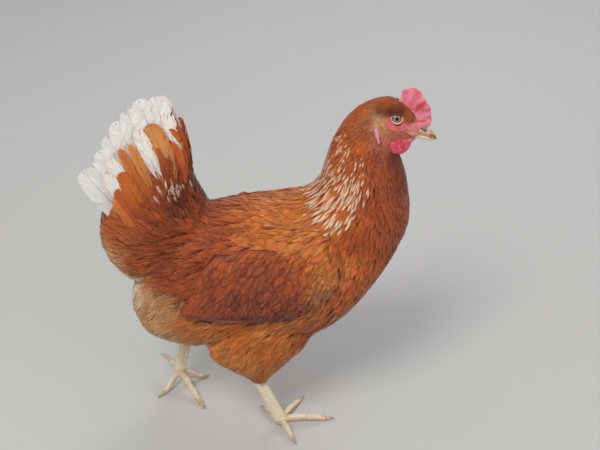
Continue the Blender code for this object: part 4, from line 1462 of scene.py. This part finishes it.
def face_details(points, normals, names):
    """Moves the skin's points into lids, folds and the comb's wrinkles, and colours every point."""
    points = points.copy()
    wing = np.char.startswith(names, "wing_")
    coat = mixed(blended(points, wing, "main"), blended(points, wing, "second"), 0.4)
    place = face_place(points)
    bare = bareness(points) * (names == "head")
    mottle, fine = ripples(points, 3.5 * MM, 3), ripples(points, 1.3 * MM, 4)
    face = layered(
        FACE_RED,
        (FACE_PALE, np.clip(0.30 + 0.45 * mottle, 0, 1)),
        (FACE_SALMON, 0.8 * spot(place, (-10, 0), 5.5, 1.4)),
        # painted shade: darker ahead of the eye, along the band that the brow shades
        (FACE_DEEP, 0.85 * spot(place, (10, 0.5), 4.6, 0.9)),
        (FACE_PALE, 0.6 * spot(place, (12, -8.5), 3.4)),
        # painted shade: darker over the eye, under the brow
        (FACE_DEEP, 0.5 * smoothstep(4.5, 7.5, place[:, 1])),
        (FACE_DEEP, np.clip(0.30 * fine, 0, 1)),
    )
    # painted shade: skin under the coat takes the coat's colours darkened, most on the body, as the shade
    # between the feathers
    colours = layered(coat * mixed(0.6, 0.85, headness(points))[:, None], (face, bare))
    wrinkles = 0.24 * MM * bare * (ripples(points, 2.2 * MM, 6) + 0.6 * ripples(points, 1.1 * MM, 7))
    points += normals * wrinkles[:, None]

    comb = (names == "comb") & (place[:, 1] > -4.0 - 0.25 * (place[:, 0] - 20))
    colours = comb_details(points, normals, colours, comb, mottle)
    on_head = (names == "comb") | (names == "head")
    cere = on_head & ~comb & (place[:, 0] > 13.5) & (place[:, 1] < -2.0)
    cere_colour = layered(CERE_PINK, (FACE_PALE, np.clip(0.35 + 0.35 * fine + 0.2 * mottle, 0, 1)))
    fold = streak_along(place, (18.5, -3.2), (31, -5.2), 0.55) * on_head
    mouth_rim = streak_along(place, (12.5, -13.5), (24, -17.5), 0.9) * on_head
    bend = (7.3, -17.6)
    jaw = streak_along(place, (-4, -20.0), bend, 0.9) + streak_along(place, bend, (16, -18.6), 0.9)
    points -= normals * (0.5 * MM * fold)[:, None]
    colours = layered(
        colours,
        (cere_colour, smoothstep(13.5, 16.5, place[:, 0]) * cere),
        # painted shade: a dark line in the fold over the cere
        (FACE_DEEP, 0.85 * fold),
        (RICTUS, 0.85 * mouth_rim),
        (FACE_DEEP * 0.8, np.clip(0.9 * jaw, 0, 1) * (names == "head")),
    )
    points, colours = lids(points, colours, bare)

    wattle = np.char.startswith(names, "wattle_")
    lift = wattle_lift(points)
    low = np.flatnonzero(lift)
    away = np.linalg.norm(CAD_LAPPETS.nearest(points[low])[0] - points[low], axis=1)
    points[low, 2] += lift[low] * bell(away, 3 * MM)
    wattle_colour = layered(
        WATTLE_RED,
        (COMB_PALE, np.clip(0.10 + 0.25 * mottle, 0, 1)),
        (COMB_DEEP, 0.6 * streak_along(place, (4, -20), (6, -32), 0.7)),
        # painted highlight: a pale spot on the wattle's front
        (COMB_PALE, 0.7 * spot(place, (15, -22), 2.6)),
    )
    points += normals * (0.30 * MM * wattle * ripples(points, 4 * MM, 9))[:, None]
    lobe_colour = layered(LOBE_PINK, (COMB_PINK, np.clip(0.2 + 0.3 * fine, 0, 1)))
    leg_colour = layered(LEG_SHADE, (LEG_PINK, np.clip(0.45 + 0.5 * ripples(points, 14 * MM, 8), 0, 1)))
    colours = layered(
        colours,
        (wattle_colour, wattle),
        (lobe_colour, np.char.startswith(names, "earlobe_")),
        (leg_colour, np.isin(names, LEGS)),
    )
    return points, np.clip(colours, 0, 1)


# ---- scales of the legs and toes

SCUTE_GRID = (5, 7)  # points along and round each plate
FORWARD, LEFTWARD, UPWARD = np.eye(3)
Run = namedtuple("Run", "line front length angles spread reach")
# A run of plates along a limb: its middle line, the way its front faces, each plate's length in mm, the
# angles of its columns round the limb and each plate's half angle in degrees, and how far out in mm the
# search for the skin starts.


def limb_ends(name):
    """The middles of the lowest and highest rings of a CAD limb."""
    points = welded(name)[0]
    low, high = points[:, 2].min(), points[:, 2].max()
    span = 0.12 * (high - low)
    return points[points[:, 2] < low + span].mean(0), points[points[:, 2] > high - span].mean(0)


def grow_scutes(skin):
    """Overlapping horny plates down each shank and along each toe, laid on the skin."""
    plates, colours = [], []
    for side in SIDES:
        ankle, hock = limb_ends("shank_" + side)
        pad = ankle + (ankle - hock) * 0.16
        runs = [
            Run((hock, pad), FORWARD, 3.9, (-27, 27), 31, 11),
            Run((hock, pad), -FORWARD, 3.4, (-30, 30), 34, 11),
            Run((hock, pad), LEFTWARD, 2.8, (-16, 16), 18, 11),
            Run((hock, pad), -LEFTWARD, 2.8, (-16, 16), 18, 11),
        ]
        ground = np.array([pad[0], pad[1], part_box("foot_" + side)[0].z])
        for name in NODES:
            if name.startswith("claw_" + side):
                tip = nearest_end(name, ground)
                runs.append(Run(toe_line(skin, ground, tip), UPWARD, 2.6, (0,), 62, 6))
        for run in runs:
            lay_plates(run, skin, plates, colours)
    points = np.concatenate(plates)
    rows, columns = SCUTE_GRID
    cell = np.arange(rows * columns).reshape(rows, columns)
    quads = np.stack([cell[:-1, :-1], cell[:-1, 1:], cell[1:, 1:], cell[1:, :-1]], axis=-1).reshape(-1, 4)
    polygons = (quads[None] + np.arange(len(plates))[:, None, None] * rows * columns).reshape(-1, 4)
    piece = build_object("leg_scutes", points, polygons, np.concatenate(colours))
    along_and_round = crossed(np.linspace(-0.5, 0.5, rows), np.linspace(-0.5, 0.5, columns))
    patch = np.stack(along_and_round, axis=1) * PATCH
    anchors = np.array([plate.mean(0) for plate in plates])
    uv = (unwrap(anchors, np.zeros(len(anchors), bool))[:, None] + patch[None]).reshape(-1, 2)
    keep_map(piece, uv[polygons.ravel()])
    horny = markings_and_light_material(
        "leg_scale", roughness=0.42, detail=1200, contrast=0.12, specular=0.45, bump=0.2
    )
    settle(piece, "leg_skin", horny)


def nearest_end(name, place):
    """The end of a claw that is nearest to the foot's middle."""
    points = welded(name)[0]
    away = np.linalg.norm(points - place, axis=1)
    return points[away < away.min() + 1.5 * MM].mean(0)


def toe_line(skin, foot, tip):
    """The middle line of a toe, found by looking down on it at steps from the foot's middle to its claw."""
    flat = unit((tip - foot) * (1, 1, 0))
    aside = np.cross(flat, (0, 0, 1.0))
    line = []
    for share in np.linspace(0.12, 1.0, 9):
        seen = []
        for offset in np.arange(-5, 5.1, 0.5) * MM:
            above = foot + (tip - foot) * (share, share, 0) + aside * offset
            top = skin.tree.ray_cast(Vector((above[0], above[1], 24 * MM)), Vector((0, 0, -1)))
            under = skin.tree.ray_cast(Vector((above[0], above[1], -10 * MM)), Vector((0, 0, 1)))
            if top[0] is not None and under[0] is not None:
                seen.append((np.array(top[0]) + np.array(under[0])) / 2)
        if seen:
            line.append(np.mean(seen, axis=0))
    return line


def lay_plates(run, skin, plates, colours):
    """Adds one run's plates. Each is a curved shield, sunk at its upper edge and raised at its lower one."""
    if len(run.line) < 2:
        return
    rows, columns = SCUTE_GRID
    line = np.array(run.line)
    run_length = run_along(line)
    whole = run_length[-1]
    ahead = (line[-1] - line[0]) / np.linalg.norm(line[-1] - line[0])
    forward = unit(run.front - ahead * (run.front @ ahead))
    sideways = np.cross(ahead, forward)
    count = max(3, int(whole / (run.length * MM)))
    for column, middle_angle in enumerate(run.angles):
        for number in range(count):
            first = (number + 0.5 * (column % 2)) / count
            grid = []
            for row in range(rows):
                share = row / (rows - 1)
                for step in range(columns):
                    across = 2 * step / (columns - 1) - 1
                    rounded_end = 0.45 * (1 - across**2)
                    at = first + (share * (1.0 + rounded_end) - 0.12) / count
                    angle = math.radians(middle_angle + run.spread * across * (1 - 0.15 * share**4))
                    out = forward * math.cos(angle) + sideways * math.sin(angle)
                    axis = np.array([np.interp(at * whole, run_length, line[:, k]) for k in range(3)])
                    hit = skin.tree.ray_cast(Vector(axis + out * run.reach * MM), Vector(-out))
                    if hit[0] is None or (np.array(hit[0]) - axis) @ out < 0:
                        break
                    rise = (-0.25 + 0.65 * share**0.8 + 0.15 * (1 - across**2)) * MM
                    grid.append(np.array(hit[0]) + out * rise)
            if len(grid) < rows * columns:
                continue
            grid = np.array(grid)
            if np.linalg.norm(grid.max(0) - grid.min(0)) > 3.2 * run.length * MM + 8 * MM:
                continue
            plates.append(grid)
            tone = mixed(LEG_CREAM, LEG_PINK, np.clip(0.25 + 0.25 * rng.normal(), 0, 0.8))
            down = np.repeat(np.linspace(0, 1, rows), columns)
            shade = 0.55 * (1 - down) ** 2 + 0.25 * smoothstep(0.9, 1.0, down)
            colours.append(layered(tone, (LEG_SHADE, shade)))


# ---- eyes

IRIS_RING = linear(182, 160, 126)
IRIS_OUTER = linear(116, 96, 76)
IRIS_DARK = linear(76, 56, 44)
PUPIL_BLACK = np.full(3, 0.004)
PUPIL, RING_START, RING_END = 2.0, 2.3, 3.0  # radii in mm


def grow_eyes():
    """Eyeballs with a dark pupil, a straw iris and a wet gloss."""
    material = markings_and_light_material("eye", roughness=0.12, detail=2500, contrast=0.10, specular=0.15, coat=0.6)
    rings, spokes = 48, 96
    for side in SIDES:
        gaze = GAZE[side]
        across = unit(np.cross(gaze, (0, 0, 1)))
        up = np.cross(across, gaze)
        tilts, turns = crossed(np.linspace(0.01, 0.62 * math.pi, rings), circle(spokes))
        rays = (
            np.cos(tilts)[:, None] * gaze
            + (np.sin(tilts) * np.cos(turns))[:, None] * across
            + (np.sin(tilts) * np.sin(turns))[:, None] * up
        )
        cornea = 0.35 * MM * bell(tilts, 0.55)
        points = ball_middle(side) + rays * (BALL + cornea - 0.2 * MM)[:, None]
        flat = np.sin(tilts) * BALL / MM
        fibres = 0.5 + 0.5 * np.sin(turns * 37 + 3 * np.sin(turns * 5)) * np.sin(flat * 2.2)
        colour = layered(
            IRIS_RING,
            (IRIS_OUTER, smoothstep(RING_END - 0.3, RING_END + 0.7, flat)),
            (IRIS_DARK, 0.30 * fibres),
            # dark outer band: part the iris's own dark edge, part painted shade under the lids
            (IRIS_DARK, 0.90 * smoothstep(4.2, 5.2, flat)),
            (IRIS_OUTER, 0.6 * (1 - smoothstep(PUPIL, RING_START, flat))),
            (PUPIL_BLACK, 1 - smoothstep(PUPIL - 0.1, PUPIL + 0.2, flat)),
        )
        colour = np.where((tilts > 1.0)[:, None], IRIS_DARK * 0.5, colour)
        eye = build_object("eyeball_" + side, points, grid_quads(rings, spokes), colour)
        settle(eye, "eye", material, "eye_" + side)


# ---- bill and claws: CAD nodes, smoothed and painted

HORN_VOXEL = 0.35 * MM
CLAW_BASE, CLAW_TIP = linear(214, 192, 158), linear(170, 140, 108)


def horn_material(name, base, tip, start, end, roughness):
    """Horn that shades from base to tip along a line in the hen's frame, with fine streaks."""
    made, shader, add = new_material(name)
    fill(shader, {
        "Roughness": roughness, "Specular IOR Level": 0.5, "Coat Weight": 0.25, "Coat Roughness": 0.2
    })
    place = add("TexCoord").outputs["Object"]
    run = Vector(end) - Vector(start)
    offset = add("VectorMath", {0: place, 1: start}, operation="SUBTRACT")
    offset = offset.outputs["Vector"]
    along = add("VectorMath", {0: offset, 1: run / run.length_squared}, operation="DOT_PRODUCT")
    noise = add("TexNoise", {"Scale": 420, "Detail": 4, "Vector": place}).outputs["Fac"]
    jitter = add("Math", {0: noise, 1: 0.35, 2: along.outputs["Value"]}, operation="MULTIPLY_ADD")
    ramp = add("ValToRGB", {"Fac": jitter.outputs["Value"]})
    for stop, position, colour in zip(ramp.color_ramp.elements, (0.25, 1.05), (base, tip)):
        set_up(stop, position=position, color=(*colour, 1))
    relief = add("Bump", {"Strength": 0.25, "Distance": 0.2 * MM, "Height": noise})
    fill(shader, {"Base Color": ramp.outputs["Color"], "Normal": relief.outputs["Normal"]})
    return made


def rounded_node(name, material):
    """A CAD node kept in place, its facets softened by modifiers."""
    node = NODES[name]
    set_up(node.modifiers.new("weld", "WELD"), merge_threshold=0.01 * MM)
    voxels = node.modifiers.new("voxels", "REMESH")
    set_up(voxels, mode="VOXEL", voxel_size=HORN_VOXEL, use_smooth_shade=True)
    set_up(node.modifiers.new("smooth", "SMOOTH"), factor=0.5, iterations=4)
    node.data.materials.clear()
    node.data.materials.append(material)


def gape_height(place):
    """Height in mm over the line where the bill closes, from its corner to its tip."""
    line = np.interp(place[:, 0], (15, 28, 38, 41.5), (-16.3, -21.3, -25.8, -28.4))
    return place[:, 1] - line


BILL_IVORY = linear(240, 214, 184)
BILL_PALE = linear(238, 204, 182)
BILL_PINK = linear(222, 164, 144)
BILL_BROWN = linear(150, 76, 54)
NOSTRIL_TURN = -38
NOSTRIL = (  # place in mm from the eye (forward, out from the midline, up), radii in mm, colour
    ("lid", (28.6, 5.6, -11.3), (5.0, 1.4, 1.7), linear(168, 136, 132)),
    # the slit is a dark pebble: painted shade that stands for the nostril's opening
    ("slit", (27.9, 5.5, -12.7), (5.2, 1.3, 1.6), linear(66, 34, 40)),
)


def grow_bill():
    """Both halves of the bill as smooth horn, pale along the cutting edge, and the nostrils."""
    material = markings_and_light_material(
        "bill_horn", roughness=0.36, detail=700, contrast=0.14, specular=0.5, coat=0.25
    )
    for name in ("beak_upper", "beak_lower"):
        points, faces = welded(name)
        mesh = remeshed(points + 0.15 * MM * corner_normals(points, faces), faces, HORN_VOXEL, 5)
        points, faces = mesh_arrays(mesh)
        place = face_place(points)
        outer = smoothstep(14, 38, place[:, 0])
        points += outer[:, None] * np.array([0.9, 0, 1.0]) * MM
        over_gape = gape_height(place)
        if name == "beak_lower":
            points[:, 2] += (0.3 - 0.42 * np.minimum(over_gape, 0)) * MM * smoothstep(17, 22, place[:, 0])
        grain = ripples(points * (0.35, 1, 1), 1.2 * MM, 14)
        if name == "beak_upper":
            colour = layered(
                BILL_IVORY,
                (BILL_PINK, smoothstep(1.2, 3.2, over_gape)),
                (BILL_BROWN, 0.85 * (smoothstep(33.0, 36.0, place[:, 0]) * smoothstep(1.0, 2.2, over_gape))),
                # painted highlight: pale along the ridge towards the tip
                (BILL_IVORY, 0.5 * (smoothstep(4.5, 6.0, over_gape) * smoothstep(30, 33, place[:, 0]))),
            )
        else:
            colour = layered(BILL_PALE, (BILL_BROWN, 0.40 * smoothstep(3.0, 6.5, -over_gape)))
        colour = layered(colour, (BILL_BROWN, np.clip(0.16 * grain, 0, 1)))
        half = build_object(name.replace("beak", "bill"), points, faces, colour)
        settle(half, "horn", material, name)
    for side in SIDES:
        for label, (away, out, up), radii, colour in NOSTRIL:
            points, faces = pebble((away, OUTWARD[side] * out, up), radii, NOSTRIL_TURN)
            shaded = layered(colour, (colour * 0.6, 0.5 + 0.5 * ripples(points, 1.5 * MM, 15)))
            settle(build_object(f"nostril_{label}_{side}", points, faces, shaded), "horn", material)


def dress_claws():
    """The frame's own claws, smoothed and in horn."""
    for name in NODES:
        if name.startswith("claw_"):
            foot = middle("foot_" + name.split("_")[1])
            own = middle(name)
            away = unit(own - foot) * 5 * MM
            material = horn_material(name + "_horn", CLAW_BASE, CLAW_TIP, own - away, own + away, 0.42)
            rounded_node(name, material)


# ---- stage: floor, light, camera

CAMERA_PITCH = math.radians(29)  # how far it looks down
CAMERA_DISTANCE = 1.0977  # from what it is aimed at
TARGET_BEHIND_EYE = 0.09936
TARGET_HEIGHT = 0.2391


def aimed(name, data, place, direction):
    """A light or a camera at a place, looking in this direction."""
    made = set_up(new_object(name, data), location=place, rotation_mode="QUATERNION")
    return set_up(made, rotation_quaternion=direction.to_track_quat("-Z", "Y"))


def area_light(name, place, size, power, colour):
    """A round light aimed at the hen's middle."""
    lamp = set_up(bpy.data.lights.new(name, "AREA"), shape="DISK", size=size, energy=power, color=colour)
    aimed(name, lamp, place, Vector((0, 0, 0.2)) - Vector(place))


def set_stage():
    """The floor, the studio's sky and its three lights."""
    reach = 12.0
    corners = np.array([(-reach, -reach, 0), (reach, -reach, 0), (reach, reach, 0), (-reach, reach, 0)])
    floor = build_object("floor", corners, np.array([(0, 1, 2, 3)]))
    pale, shader, _ = new_material("floor")
    fill(shader, {"Base Color": (0.62, 0.615, 0.59, 1), "Roughness": 0.9})
    floor.data.materials.append(pale)
    world = set_up(bpy.data.worlds.new("studio"), use_nodes=True)
    fill(world.node_tree.nodes["Background"], {"Color": (0.92, 0.95, 1.0, 1), "Strength": 0.42})
    bpy.context.scene.world = world
    area_light("key", (-0.7, -1.5, 2.3), 1.1, 34, (1.0, 0.97, 0.92))
    area_light("fill", (1.8, -1.6, 1.2), 1.6, 9, (0.95, 0.98, 1.0))
    area_light("rim", (0.6, 1.8, 1.9), 1.2, 14, (1.0, 1.0, 1.0))
    bpy.context.scene.view_settings.view_transform = "Standard"


def set_camera():
    """The camera as it stood in the photo."""
    lens = set_up(bpy.data.cameras.new("camera"), sensor_width=36, lens=60, clip_start=0.05)
    target = Vector((EYE_X - TARGET_BEHIND_EYE, MIDLINE, TARGET_HEIGHT))
    back = Vector((0, -math.cos(CAMERA_PITCH), math.sin(CAMERA_PITCH)))
    bpy.context.scene.camera = aimed("camera", lens, target + back * CAMERA_DISTANCE, -back)


# ---- making it all

set_stage()
set_camera()
skin = grow_skin()
grow_coat()
grow_flights()
grow_tail()
grow_scutes(skin)
grow_eyes()
grow_lid_rims()
grow_bill()
dress_claws()

bpy.context.view_layer.update()
